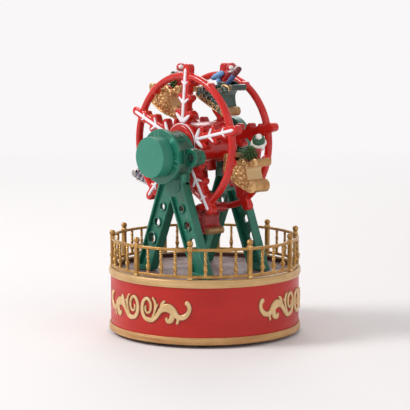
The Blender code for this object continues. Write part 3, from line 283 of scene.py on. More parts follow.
def plate(outline, low, high, edge, steps):
    """A flat outline given thickness along y, with its rim rounded: at edge angle q the outline is drawn
    in by edge (1 - sin q) along its mitred normal, at height edge (1 - cos q) from each face."""
    line = np.asarray(outline, float)
    area = np.sum(line[:, 0] * np.roll(line[:, 1], -1) - np.roll(line[:, 0], -1) * line[:, 1])
    if area < 0:
        line = line[::-1]
    d = np.roll(line, -1, 0) - line
    d /= np.linalg.norm(d, axis=1, keepdims=True)
    out = np.stack([d[:, 1], -d[:, 0]], -1)
    mitre = out + np.roll(out, 1, 0)
    mitre /= np.maximum(np.sum(mitre * mitre, 1, keepdims=True) / 2, 0.5)
    q = np.linspace(0, math.pi / 2, steps)
    draw = np.concatenate([edge * (1 - np.sin(q)), edge * (1 - np.sin(q[::-1]))])
    level = np.concatenate([low + edge * (1 - np.cos(q)), high - edge * (1 - np.cos(q[::-1]))])
    flat = line[None] - draw[:, None, None] * mitre[None]
    lift = np.broadcast_to(level[:, None], flat.shape[:2])
    return capped(np.stack([flat[..., 0], lift, flat[..., 1]], -1), len(draw), len(line))


def relief(path, widths, rise, samples=6, across=9, groove=0.0, crown=4):
    """A raised band as (x, z, height) rows: at s from -1 to 1 across, the point is path + s * width *
    normal and the height is rise * sqrt(1 - s^crown) less a soft groove along its middle. Ends are rounded
    by narrowing the width as sqrt(1 - u^2) over the last width of length."""
    line = spline(np.column_stack([path, widths]), samples)
    xz, w = line[:, :2], np.maximum(line[:, 2], 0.12)
    run = np.concatenate([[0], np.cumsum(np.linalg.norm(np.diff(xz, axis=0), axis=1))])
    for gap, width in ((run, w[0]), (run[-1] - run, w[-1])):
        u = np.clip(1 - gap / width, 0, 1)
        w = w * np.sqrt(np.maximum(1 - u * u, 0.0004))
    t = frames(xz)
    normal = np.stack([-t[:, 1], t[:, 0]], -1)
    s = np.sin(np.linspace(-1, 1, across) * math.pi / 2)
    high = np.sqrt(np.maximum(1 - s ** crown, 0)) - groove * np.exp(-(s / 0.3) ** 2)
    s = np.concatenate([s, [0.6, -0.6]])
    high = np.concatenate([high, [-0.35, -0.35]])
    flat = xz[:, None] + s[None, :, None] * (w[:, None] * normal)[:, None]
    fade = np.minimum(w / np.maximum(line[:, 2], 0.12), 1)[:, None]
    height = rise * high[None] * np.where(high[None] > 0, fade, 1)
    return np.concatenate([flat, height[..., None]], -1)


def relief_shape(rows, place):
    """The relief's rows put on a surface by place(x, z, height)."""
    return capped(place(rows[..., 0], rows[..., 1], rows[..., 2]), *rows.shape[:2])


def on_axis(profile):
    """The profile with no radius below zero."""
    return np.maximum(profile, [0, -np.inf])


def ball(r, at, rows=14, cols=20, squash=1.0):
    """Sphere: latitude q and longitude a give r (cos q cos a, cos q sin a, squash sin q)."""
    q = np.linspace(-math.pi / 2, math.pi / 2, rows)
    return turned(np.stack([np.abs(r * np.cos(q)) * (np.abs(np.cos(q)) > 1e-6), r * squash * np.sin(q)], -1),
                  cols, "Z", at)


def basis(direction):
    """Rows of a turn that lays +Z along the direction."""
    return np.array(Vector((0, 0, 1)).rotation_difference(Vector(direction).normalized()).to_matrix())


# shader node groups

def new_group(name, inputs, outputs):
    tree = bpy.data.node_groups.new(name, "ShaderNodeTree")
    for label, kind, value in inputs:
        socket = tree.interface.new_socket(label, in_out="INPUT", socket_type="NodeSocket" + kind)
        socket.default_value = value
    for label, kind in outputs:
        tree.interface.new_socket(label, in_out="OUTPUT", socket_type="NodeSocket" + kind)
    return tree, tree.nodes.new("NodeGroupInput"), tree.nodes.new("NodeGroupOutput")


def feed(tree, socket, value):
    """Sets a socket to a number or a colour, or links it to an output."""
    if isinstance(value, (int, float)):
        socket.default_value = value
    elif isinstance(value, tuple):
        socket.default_value = (*value, 1.0)
    elif value is not None:
        tree.links.new(value, socket)


def math_node(tree, kind, a, b=None, clamp=False):
    node = tree.nodes.new("ShaderNodeMath")
    node.operation, node.use_clamp = kind, clamp
    feed(tree, node.inputs[0], a)
    feed(tree, node.inputs[1], b)
    return node.outputs[0]


def noise_node(tree, scale, detail, rough=0.55, stretch=None):
    coord = tree.nodes.new("ShaderNodeTexCoord").outputs["Object"]
    if stretch is not None:
        mapping = tree.nodes.new("ShaderNodeMapping")
        mapping.inputs["Scale"].default_value = stretch
        tree.links.new(coord, mapping.inputs["Vector"])
        coord = mapping.outputs["Vector"]
    node = tree.nodes.new("ShaderNodeTexNoise")
    tree.links.new(coord, node.inputs["Vector"])
    node.inputs["Detail"].default_value = detail
    node.inputs["Roughness"].default_value = rough
    feed(tree, node.inputs["Scale"], scale)
    return node.outputs["Fac"]


def ramp(tree, fac, low, high):
    node = tree.nodes.new("ShaderNodeMapRange")
    node.interpolation_type = "SMOOTHSTEP"
    node.inputs["From Min"].default_value = low
    node.inputs["From Max"].default_value = high
    tree.links.new(fac, node.inputs["Value"])
    return node.outputs["Result"]


def mix_colour(tree, fac, a, b):
    node = tree.nodes.new("ShaderNodeMix")
    node.data_type = "RGBA"
    for slot, value in ((0, fac), (6, a), (7, b)):
        feed(tree, node.inputs[slot], value)
    return node.outputs[2]


def build_groups():
    """Shared effects: patchy paint, edge wear and painted highlight, hollow patina and painted shade, moulded
    grain, settled dust.
    """
    tree, ins, outs = new_group("paint_patches", [("Scale", "Float", 60.0)], [("Mask", "Float")])
    big = noise_node(tree, ins.outputs["Scale"], 4.0)
    tree.links.new(ramp(tree, big, 0.36, 0.66), outs.inputs["Mask"])

    # lighter edges: wear and painted highlight; darker hollows: patina and painted shade
    tree, ins, outs = new_group("wear_and_painted_light", [("Amount", "Float", 1.0), ("Breakup", "Float", 400.0)],
                                [("Edge", "Float"), ("Hollow", "Float")])
    point = tree.nodes.new("ShaderNodeNewGeometry").outputs["Pointiness"]
    grit = noise_node(tree, ins.outputs["Breakup"], 3.0)
    grit = math_node(tree, "MULTIPLY", math_node(tree, "SUBTRACT", grit, 0.5), 0.10)
    edge = ramp(tree, math_node(tree, "ADD", point, grit), 0.53, 0.60)
    hollow = ramp(tree, math_node(tree, "SUBTRACT", 1.0, math_node(tree, "ADD", point, grit)), 0.52, 0.58)
    tree.links.new(math_node(tree, "MULTIPLY", edge, ins.outputs["Amount"], True), outs.inputs["Edge"])
    tree.links.new(math_node(tree, "MULTIPLY", hollow, ins.outputs["Amount"], True), outs.inputs["Hollow"])

    tree, ins, outs = new_group("moulded_grain", [("Scale", "Float", 900.0), ("Depth", "Float", 0.00002)],
                                [("Height", "Float")])
    fine = noise_node(tree, ins.outputs["Scale"], 2.0)
    broad = noise_node(tree, 140.0, 1.0)
    both = math_node(tree, "ADD", math_node(tree, "MULTIPLY", broad, 2.0), fine)
    tree.links.new(math_node(tree, "MULTIPLY", both, ins.outputs["Depth"]), outs.inputs["Height"])

    tree, ins, outs = new_group("settled_dust", [("Amount", "Float", 0.3)], [("Mask", "Float")])
    normal = tree.nodes.new("ShaderNodeNewGeometry").outputs["Normal"]
    split = tree.nodes.new("ShaderNodeSeparateXYZ")
    tree.links.new(normal, split.inputs[0])
    facing = ramp(tree, split.outputs["Z"], 0.55, 0.98)
    cloud = ramp(tree, noise_node(tree, 130.0, 5.0), 0.35, 0.7)
    both = math_node(tree, "MULTIPLY", facing, cloud)
    tree.links.new(math_node(tree, "MULTIPLY", both, ins.outputs["Amount"], True), outs.inputs["Mask"])


def group_node(mat, name, **values):
    node = mat.node_tree.nodes.new("ShaderNodeGroup")
    node.node_tree = bpy.data.node_groups[name]
    for label, value in values.items():
        node.inputs[label].default_value = value
    return node


FINISHES = {}       # the frame has materials of its own, some with the same names


def finish_of(name, base, second, rough=(0.3, 0.42), metal=0.0, coat=0.0, patch=60.0, edge=None, hollow=None,
              dust=0.0, grain=(900.0, 0.00002), wear_and_light_amount=1.0, breakup=400.0, sheen_ior=1.5, streak=None):
    """One painted or moulded finish: two close tones in patches, an edge tone on the edges for wear and painted
    highlight, a dark tone in the hollows for patina and painted shade, dust on what faces up, roughness that
    follows the patches, and a fine moulded grain."""
    mat = FINISHES[name] = bpy.data.materials.new(name)
    mat.use_nodes = True
    tree = mat.node_tree
    shader = tree.nodes["Principled BSDF"]
    patches = group_node(mat, "paint_patches", Scale=patch).outputs["Mask"]
    if streak is not None:
        lines = ramp(tree, noise_node(tree, 1.0, 4.0, 0.6, streak), 0.38, 0.62)
        patches = math_node(tree, "ADD", math_node(tree, "MULTIPLY", patches, 0.45),
                            math_node(tree, "MULTIPLY", lines, 0.55))
    colour = mix_colour(tree, patches, base, second)
    wear_and_light = group_node(mat, "wear_and_painted_light", Amount=wear_and_light_amount, Breakup=breakup)
    if hollow is not None:
        colour = mix_colour(tree, wear_and_light.outputs["Hollow"], colour, hollow)
    if edge is not None:
        colour = mix_colour(tree, wear_and_light.outputs["Edge"], colour, edge)
    level = math_node(tree, "ADD", math_node(tree, "MULTIPLY", patches, rough[1] - rough[0]), rough[0])
    if dust:
        settled = group_node(mat, "settled_dust", Amount=dust).outputs["Mask"]
        colour = mix_colour(tree, settled, colour, (0.46, 0.42, 0.40))
        level = math_node(tree, "ADD", level, math_node(tree, "MULTIPLY", settled, 0.4), True)
    tree.links.new(colour, shader.inputs["Base Color"])
    tree.links.new(level, shader.inputs["Roughness"])
    shader.inputs["Metallic"].default_value = metal
    shader.inputs["Coat Weight"].default_value = coat
    shader.inputs["Coat Roughness"].default_value = 0.12
    shader.inputs["IOR"].default_value = sheen_ior
    bump = tree.nodes.new("ShaderNodeBump")
    bump.inputs["Distance"].default_value = 1.0
    bump.inputs["Strength"].default_value = 0.8
    height = group_node(mat, "moulded_grain", Scale=grain[0], Depth=grain[1])
    tree.links.new(height.outputs["Height"], bump.inputs["Height"])
    tree.links.new(bump.outputs["Normal"], shader.inputs["Normal"])


build_groups()
# the hollow tone here is painted shade in the wheel's recesses
finish_of("wheel_red", (0.60, 0.013, 0.008), (0.50, 0.009, 0.006), (0.20, 0.30), coat=0.3,
          hollow=(0.28, 0.004, 0.003), wear_and_light_amount=0.8, sheen_ior=1.42)
finish_of("wall_red", (0.50, 0.018, 0.012), (0.42, 0.014, 0.009), (0.30, 0.42), patch=35.0,
          streak=(10.0, 10.0, 160.0), grain=(500.0, 0.00003), sheen_ior=1.40)
# the edge tone here is a painted highlight along the stand's edges
finish_of("stand_green", (0.014, 0.170, 0.108), (0.010, 0.148, 0.093), (0.24, 0.36), coat=0.2,
          edge=(0.07, 0.34, 0.25), wear_and_light_amount=0.9, breakup=700.0)
# the case: a darker copy of the stand's green, painted shade on its sides, with a painted highlight on its
# edges
finish_of("case_green_painted_shade", (0.009, 0.110, 0.066), (0.006, 0.090, 0.055), (0.16, 0.26), coat=0.4,
          edge=(0.04, 0.25, 0.17), wear_and_light_amount=0.7, breakup=700.0)
finish_of("cap_green", (0.030, 0.225, 0.155), (0.024, 0.200, 0.136), (0.38, 0.46), patch=45.0,
          grain=(1200.0, 0.00002))
finish_of("low_band_gold", (0.62, 0.37, 0.15), (0.40, 0.19, 0.065), (0.34, 0.50), metal=0.35, patch=38.0,
          streak=(25.0, 25.0, 300.0), hollow=(0.25, 0.11, 0.035), grain=(420.0, 0.00005))
finish_of("band_gold", (0.68, 0.45, 0.21), (0.52, 0.31, 0.13), (0.36, 0.50), metal=0.35, patch=45.0,
          streak=(25.0, 25.0, 400.0), hollow=(0.30, 0.16, 0.06), grain=(420.0, 0.00005))
# the leaves' edge tone is a painted highlight and their hollow tone is painted shade
finish_of("leaf_paint", (0.075, 0.150, 0.120), (0.035, 0.085, 0.068), (0.26, 0.38), patch=240.0,
          edge=(0.40, 0.46, 0.42), hollow=(0.010, 0.024, 0.018), breakup=1200.0, coat=0.2)
finish_of("roll_green", (0.030, 0.062, 0.048), (0.020, 0.044, 0.034), (0.28, 0.40), patch=110.0,
          edge=(0.36, 0.22, 0.09), hollow=(0.008, 0.016, 0.012), coat=0.2)
# painted shade: the dark liner inside the plinth wall
finish_of("inner_wall_painted_shade", (0.085, 0.022, 0.018), (0.050, 0.014, 0.012), (0.45, 0.6), patch=80.0)
# painted shadow: the dark band round the scrolls
finish_of("scroll_painted_shadow", (0.13, 0.008, 0.005), (0.09, 0.006, 0.004), (0.35, 0.5), patch=200.0)
# the hollow tone here is patina and painted shade in the scrolls' crevices
finish_of("scroll_gold", (0.74, 0.52, 0.27), (0.64, 0.42, 0.19), (0.34, 0.46), metal=0.30, patch=120.0,
          hollow=(0.32, 0.12, 0.05), breakup=700.0)
finish_of("fence_bronze", (0.50, 0.27, 0.075), (0.38, 0.185, 0.045), (0.26, 0.40), metal=0.55, patch=170.0,
          edge=(0.78, 0.50, 0.20), hollow=(0.09, 0.035, 0.012), breakup=900.0, dust=0.08)
finish_of("sleigh_gold", (0.60, 0.34, 0.13), (0.44, 0.21, 0.07), (0.26, 0.40), metal=0.5, patch=260.0,
          edge=(0.88, 0.63, 0.33), hollow=(0.16, 0.030, 0.014), breakup=1200.0)
finish_of("roll_gold", (0.50, 0.30, 0.13), (0.36, 0.19, 0.08), (0.34, 0.5), metal=0.40, patch=200.0,
          edge=(0.66, 0.45, 0.22), hollow=(0.12, 0.05, 0.02), breakup=900.0)
# the dashboard's darker gold is painted shade in its concave panel
finish_of("dash_gold_painted_shade", (0.36, 0.185, 0.075), (0.25, 0.110, 0.042), (0.30, 0.45), metal=0.45, patch=140.0,
          edge=(0.70, 0.48, 0.24), hollow=(0.12, 0.04, 0.02), breakup=900.0)
finish_of("deck_paint", (0.200, 0.118, 0.112), (0.145, 0.080, 0.078), (0.45, 0.62), patch=90.0, dust=0.22,
          grain=(600.0, 0.00005))
finish_of("white_inlay", (0.90, 0.84, 0.88), (0.86, 0.79, 0.84), (0.36, 0.46), patch=160.0)
finish_of("white_fur", (0.84, 0.81, 0.78), (0.74, 0.70, 0.67), (0.6, 0.75), patch=320.0,
          hollow=(0.45, 0.36, 0.32), grain=(1500.0, 0.0002))
finish_of("hat_red", (0.52, 0.018, 0.022), (0.42, 0.012, 0.016), (0.28, 0.40), patch=200.0,
          hollow=(0.18, 0.006, 0.008), coat=0.2)
finish_of("hat_green", (0.022, 0.105, 0.045), (0.015, 0.078, 0.034), (0.32, 0.44), patch=200.0,
          hollow=(0.006, 0.03, 0.014))
finish_of("fir_green", (0.050, 0.115, 0.035), (0.028, 0.072, 0.022), (0.45, 0.6), patch=300.0,
          edge=(0.14, 0.22, 0.07), hollow=(0.010, 0.028, 0.008), breakup=1500.0)
finish_of("sleigh_green", (0.018, 0.050, 0.040), (0.012, 0.036, 0.030), (0.26, 0.38), coat=0.3, patch=180.0,
          edge=(0.05, 0.10, 0.08))
finish_of("sleigh_red", (0.42, 0.014, 0.014), (0.32, 0.010, 0.011), (0.24, 0.36), coat=0.3, patch=180.0,
          hollow=(0.12, 0.004, 0.005))
finish_of("sleigh_purple", (0.060, 0.042, 0.125), (0.042, 0.030, 0.092), (0.3, 0.42), patch=180.0, coat=0.2)
finish_of("silver_trim", (0.52, 0.50, 0.48), (0.40, 0.36, 0.34), (0.3, 0.45), metal=0.5, patch=250.0,
          hollow=(0.10, 0.08, 0.08), breakup=1200.0)
finish_of("parcel_blue", (0.16, 0.36, 0.66), (0.12, 0.29, 0.56), (0.34, 0.46), patch=200.0,
          hollow=(0.04, 0.10, 0.26))
finish_of("sock_maroon", (0.16, 0.025, 0.035), (0.11, 0.016, 0.024), (0.4, 0.55), patch=220.0,
          hollow=(0.04, 0.006, 0.01))
finish_of("sock_blue", (0.10, 0.17, 0.36), (0.07, 0.12, 0.28), (0.4, 0.55), patch=220.0,
          hollow=(0.02, 0.04, 0.1))
finish_of("figure_skin", (0.70, 0.42, 0.30), (0.62, 0.35, 0.24), (0.42, 0.5), patch=200.0)
finish_of("foot_rubber", (0.018, 0.018, 0.019), (0.028, 0.028, 0.029), (0.7, 0.85), patch=150.0,
          grain=(1800.0, 0.00005))
finish_of("screw_steel", (0.20, 0.21, 0.20), (0.14, 0.15, 0.14), (0.36, 0.5), metal=1.0, patch=300.0,
          hollow=(0.05, 0.05, 0.05))
finish_of("drive_brass", (0.70, 0.48, 0.19), (0.60, 0.38, 0.13), (0.24, 0.36), metal=1.0, patch=200.0)
finish_of("cover_black", (0.035, 0.034, 0.035), (0.050, 0.048, 0.048), (0.5, 0.62), patch=60.0,
          grain=(1400.0, 0.00006))

build_studio()


# plinth

def build_plinth():
    """Wall, bands and deck as turned profiles. The top band has four shallow seams, where the radius drops
    by 0.28 exp(-(d / 0.22)^2) at d degrees from each seam."""
    def seams(r, h, a):
        deg = np.degrees(a)
        out = r.copy()
        for at in (-30.4, -57.2, 61.0, 133.0):
            d = (deg - at + 180) % 360 - 180
            out -= np.where(r > 68.9, 0.28 * np.exp(-(d / 0.22) ** 2), 0)
        return out

    wall_in = WALL_R - 2.6
    wall = [(WALL_R, FOOT_H + 0.6), (WALL_R, RIM_Z - 1.55), (wall_in, RIM_Z - 1.55), (wall_in, DECK_Z - 2.8),
            (wall_in - 5, DECK_Z - 2.8), (wall_in - 5, DECK_Z - 4.8), (wall_in, DECK_Z - 8.8),
            (wall_in, FOOT_H + 0.6)]
    make(turned(soften(wall, 0.3), 240), "plinth_wall", "plinth", "wall_red", ["base_shell"])

    low = [(WALL_R + 0.25, FOOT_H), (BAND_R - 0.35, FOOT_H), (BAND_R, FOOT_H + 0.5), (BAND_R, FOOT_H + 3.4),
           (BAND_R - 0.45, FOOT_H + 4.3), (BAND_R - 0.35, LOW_TOP - 0.35), (WALL_R + 0.25, LOW_TOP)]
    make(turned(soften(low, 0.4), 240), "plinth_low_band", "plinth", "low_band_gold", ["lower_band"])

    top = [(WALL_R + 0.25, BAND_LOW), (BAND_R - 0.45, BAND_LOW + 0.05), (BAND_R - 0.3, BAND_LOW + 1.0),
           (BAND_R, BAND_LOW + 1.5), (BAND_R, RIM_Z - 1.1), (BAND_R - 0.4, RIM_Z - 0.4), (BAND_R - 1.3, RIM_Z),
           (wall_in - 0.6, RIM_Z), (wall_in - 0.6, RIM_Z - 1.2), (WALL_R + 0.25, RIM_Z - 1.2)]
    make(turned(soften(top, 0.45), 720, change=seams), "plinth_top_band", "plinth", "band_gold", ["upper_band"])

    edge = np.array([(0, DECK_Z - 0.02)] + [(r, DECK_Z) for r in np.linspace(4, wall_in - 1.2, 18)]
                    + [(wall_in - 0.35, DECK_Z - 0.6), (wall_in - 0.35, DECK_Z - 2.5), (0, DECK_Z - 2.5)])
    deck = turned(edge, 96)
    points = deck.points[0]
    x, y, z = points.T
    ripple = 0.10 * np.sin(x / 9 + 1.3) * np.sin(y / 7.5) + 0.06 * np.sin(x / 3.7 - y / 5.1)
    points[:, 2] = np.where(z > DECK_Z - 0.1, z - 0.12 + ripple * (np.hypot(x, y) < 62), z)
    make(deck, "plinth_deck", "plinth", "deck_paint", ["deck"], sharp=60)
    # a thin dark liner on the inner side of the wall: painted shade above the deck
    lip = [(wall_in - 0.02, DECK_Z - 0.4), (wall_in - 0.3, DECK_Z - 0.4), (wall_in - 0.3, RIM_Z - 1.3),
           (wall_in - 0.02, RIM_Z - 1.3)]
    make(turned(lip, 240), "plinth_inner_painted_shade", "plinth", "inner_wall_painted_shade")


def spiral(count):
    """Radius 2.2 + 6.3 t while the angle runs from 150 to 630 degrees, squeezed to 0.62 of its height."""
    t = np.linspace(0, 1, count)
    a, r = np.radians(150 + 480 * t), 2.2 + 6.3 * t
    return np.stack([6.6 + 0.62 * r * np.cos(a), 2.4 + r * np.sin(a)], -1), 0.62 + 0.95 * t ** 1.3


def motif():
    """One half of a scroll, as centre lines with half widths: the spiral that runs on into the leaf body and
    the hook, then the stem with its spike, the top leaf, the curled lobe and the small leaf."""
    line, width = spiral(27)
    hook = np.array([
        (10.1, -6.2, 1.7), (13.5, -4.0, 1.6), (15.8, -1.0, 1.6), (17.9, 1.5, 2.1), (20.8, 3.1, 2.9),
        (23.8, 3.0, 3.1), (26.4, 1.2, 2.8), (28.9, -1.6, 2.1), (31.7, -3.0, 1.85), (34.9, -2.4, 1.9),
        (37.4, 0.1, 1.5), (38.5, 3.5, 1.4), (37.5, 6.4, 1.6), (35.3, 8.1, 1.7)])
    main = np.vstack([np.column_stack([line, width]), hook])
    others = ([(10.4, -5.8, 1.0), (12.4, -1.0, 0.85), (13.4, 3.4, 1.0), (12.8, 7.2, 0.95), (10.6, 10.1, 0.6)],
              [(13.2, 1.2, 0.7), (14.3, 3.9, 0.7), (15.7, 5.8, 0.3)],
              [(17.8, 2.4, 1.5), (18.8, 6.0, 1.15), (20.9, 8.3, 0.75)],
              [(26.6, 1.0, 1.9), (26.2, -2.4, 1.9), (25.2, -5.2, 2.0), (23.2, -6.2, 1.55), (21.9, -4.7, 1.0),
               (22.3, -3.2, 0.5)],
              [(29.6, -2.0, 1.1), (30.3, -5.2, 1.0), (29.3, -8.2, 0.8)])
    return [main] + [np.array(line) for line in others]


def build_scrolls():
    """The motif laid on the wall, x along it, over a slightly wider dark band that is a painted shadow round
    its edges.
    """
    zc = FOOT_H + 22.0
    shadow_band = Shape()
    for label, turn in (("front", -85.0), ("right", 22.0), ("rear", 148.5)):
        for side, mirror in (("left", -1), ("right", 1)):
            def on_wall(x, z, height):
                angle = np.radians(turn) + mirror * x / WALL_R
                r = WALL_R + np.clip(height, -0.4, 1.12)
                return np.stack([r * np.cos(angle), r * np.sin(angle), zc + z], -1)

            shape = Shape()
            for i, line in enumerate(motif()):
                rise = 1.1 - 0.05 * i
                rows = relief(line[:, :2], line[:, 2], rise, 4, 13, 0.06 if i == 0 else 0.0, 8)
                shape.join(relief_shape(rows, on_wall))
                # painted shadow: a low band 0.42 wider than each line
                under = relief(line[:, :2], line[:, 2] + 0.42, 0.09, 3, 5)
                shadow_band.join(relief_shape(under, on_wall))
            place = label + "_" + side
            make(shape, "relief_" + place, "plinth", "scroll_gold", ["scroll_" + place], 70)
    make(shadow_band, "relief_painted_shadow", "plinth", "scroll_painted_shadow", (), 70)


# fence

def build_fence():
    """Posts, rails and balusters. A baluster's radius along its height t is a row of soft bulges, and its
    section is pinched by 1 + 0.14 cos(2 a + 7 pi t), which reads as a twist."""
    rail_low, rail_top = (RIM_Z + 1.1, RIM_Z + 3.1), (RIM_Z + 19.8, RIM_Z + 21.8)
    t = np.linspace(0, 1, 74)
    bulge = np.interp(t, [0, .05, .08, .12, .16, .22, .28, .36, .43, .47, .52, 1],
                      [1.3, 1.3, .85, 1.2, 1.05, 1.6, 1.65, 1.15, .85, 1.15, .95, 1.0])
    # a row of beads from the waist up
    bulge = bulge * np.where(t > 0.5, 1 + 0.24 * np.cos(2 * math.pi * (t - 0.53) * 12.5), 1)
    height = rail_low[1] - 0.3 + t * (rail_top[0] - rail_low[1] + 0.6)
    profile = np.concatenate([[(0, height[0])], np.stack([bulge, height], -1), [(0, height[-1])]])

    def twist(r, h, a):
        s = (h - height[0]) / (height[-1] - height[0])
        inner = np.clip(np.minimum(s - 0.1, 0.9 - s) / 0.1, 0, 1)
        return r * (1 + 0.14 * inner * np.cos(2 * a + 7 * math.pi * s))

    baluster = turned(profile, 14, change=twist)
    w = 1.7
    square = soften([(w, w), (-w, w), (-w, -w), (w, -w)], 0.5, steps=3)
    levels = [(0.0, 0.0), (0.0, 1.02), (1.6, 1.02), (2.1, 0.86), (19.4, 0.86), (19.9, 1.0), (22.4, 1.0),
              (22.9, 0.8), (23.2, 0.5), (23.2, 0.0)]
    rows = np.concatenate([np.column_stack([square * k, np.full(len(square), RIM_Z + 0.3 + z)])
                           for z, k in levels]).reshape(len(levels), len(square), 3)
    post = Shape().add(rows, grid_faces(len(levels), len(square), False, True))
    cap = soften([(0, 0), (1.05, 0), (0.85, 0.7), (1.5, 0.9), (1.5, 1.2), (0, 1.2)], 0.15, False)
    post.join(turned(cap, 20, at=(0, 0, RIM_Z + 22.9)))
    post.join(ball(2.2, (0, 0, RIM_Z + 25.2), 16, 22))

    section = soften([(-1.0, 0), (1.0, 0), (1.0, 2.0), (-1.0, 2.0)], 0.55, steps=3)
    rail = np.array([(FENCE_R + p[0], p[1]) for p in section])
    for label, first in (("front", FENCE_TURN - 36.0), ("rear", FENCE_TURN - 36.0 + 180.0)):
        shape = Shape()
        for low in (rail_low[0], rail_top[0]):
            shape.join(turned(rail + np.array([0, low]), 120, arc=(first - 1.8, first + 177.6)))
        for k in range(20):
            a = math.radians(first + BAY * k)
            turn = np.array([[math.cos(a), -math.sin(a), 0], [math.sin(a), math.cos(a), 0], [0, 0, 1]])
            spot = (FENCE_R * math.cos(a), FENCE_R * math.sin(a), 0)
            shape.join(post if k % 4 == 0 else baluster, turn, spot)
        make(shape, "railing_" + label, "plinth", "fence_bronze", ["fence_" + label], sharp=50)


# flat and moulded pieces

def flat_shape(loops, low, high, edge=0.4):
    """Closed outlines, with the inner ones as holes, given thickness from low to high along y. The rim is
    rounded: the outline is drawn in by edge and comes out again round a quarter circle of that radius."""
    curve = bpy.data.curves.new("flat", "CURVE")
    curve.dimensions, curve.fill_mode = "2D", "BOTH"
    curve.extrude, curve.bevel_depth = (high - low) / 2 - edge, edge
    curve.bevel_resolution, curve.offset = 2, -edge
    for loop in loops:
        line = curve.splines.new("POLY")
        line.points.add(len(loop) - 1)
        flat = np.column_stack([np.asarray(loop, float), np.zeros(len(loop)), np.ones(len(loop))])
        line.points.foreach_set("co", flat.ravel())
        line.use_cyclic_u = True
    ob = link(bpy.data.objects.new("flat", curve))
    seen = ob.evaluated_get(bpy.context.evaluated_depsgraph_get())
    mesh = seen.to_mesh()
    points = np.empty(len(mesh.vertices) * 3)
    mesh.vertices.foreach_get("co", points)
    faces = [list(p.vertices) for p in mesh.polygons]
    seen.to_mesh_clear()
    bpy.data.objects.remove(ob, do_unlink=True)
    bpy.data.curves.remove(curve)
    x, y, z = points.reshape(-1, 3).T
    return Shape().add(np.stack([x, (low + high) / 2 + z, y], -1), faces)


def blend_moulding(ob, voxel, rounds):
    """Run the overlapping solids of a piece into one moulding, with soft inner corners."""
    mod = ob.modifiers.new("one moulding", "REMESH")
    mod.mode, mod.voxel_size, mod.use_smooth_shade = "VOXEL", voxel * MM, True
    soft = ob.modifiers.new("soft corners", "SMOOTH")
    soft.factor, soft.iterations = 0.5, rounds
    seen = ob.evaluated_get(bpy.context.evaluated_depsgraph_get())
    mesh = bpy.data.meshes.new_from_object(seen)
    look = ob.data.materials[0]
    ob.modifiers.clear()
    ob.data = mesh
    mesh.materials.clear()
    mesh.materials.append(look)
    mesh.shade_smooth()


def circle(r, at=(0, 0), count=40, start=0.0, end=360.0):
    full = abs(end - start) >= 360
    a = np.radians(np.linspace(start, end, count, endpoint=not full))
    return np.stack([at[0] + r * np.cos(a), at[1] + r * np.sin(a)], -1)


def mirrored(line, sx):
    return np.asarray(line, float) * [sx, 1]


def at_depth(line, y):
    """An (x, z) line as points at depth y."""
    return np.insert(np.asarray(line, float), 1, y, axis=1)


def on_plane(y0, side, lift=1.0, deep=0.4):
    """Puts a relief on the plane y0 so that it rises towards the given side, and sinks by deep at most."""
    return lambda x, z, h: np.stack([x, y0 + side * np.maximum(h * lift, -deep), z], -1)


# stands

NECK_W = 12.3       # half width of the neck
NECK_Z = HEAD_Z - 20.0
LEG_W = 15.2        # width of a leg, measured level
LEG_SLOPE = 0.384   # how far a leg leans out per millimetre down
CROTCH_Z = 98.2
HEAD_R = 17.6
EAR_X = 22.6
WEB_IN = 2.2        # depth of the web behind the front edge of the walls
# holes in a leg: distance below the head's axis, shift across the leg, radius
LEG_HOLES = ((37.2, -1.6, 2.25), (48.8, -0.2, 2.9), (61.0, 1.2, 3.75))


def leg_outer(z):
    return NECK_W + LEG_SLOPE * (NECK_Z - z)


def leg_line():
    """Outer edge of both legs, from neck to neck by way of the feet and the crotch."""
    foot = DECK_Z + 0.3
    xo = leg_outer(foot)
    return soften([(-NECK_W, NECK_Z), (-xo, foot), (LEG_W - xo, foot), (0, CROTCH_Z), (xo - LEG_W, foot),
                   (xo, foot), (NECK_W, NECK_Z)], 0.9, False, 4)


def pocket_loop(top, wall=1.85, low=6.0):
    """Inner edge of the walls, wall inside the outer edge, from low above the deck up to top."""
    foot = DECK_Z + low
    xo = leg_outer(foot)
    half = [(xo - LEG_W + wall, foot), (xo - wall, foot), (NECK_W - wall, NECK_Z), (NECK_W - wall, top)]
    line = np.vstack([[(0, CROTCH_Z + 0.4 + wall * 1.35)], half, mirrored(half, -1)[::-1]])
    return soften(line, 1.4, True, 5)


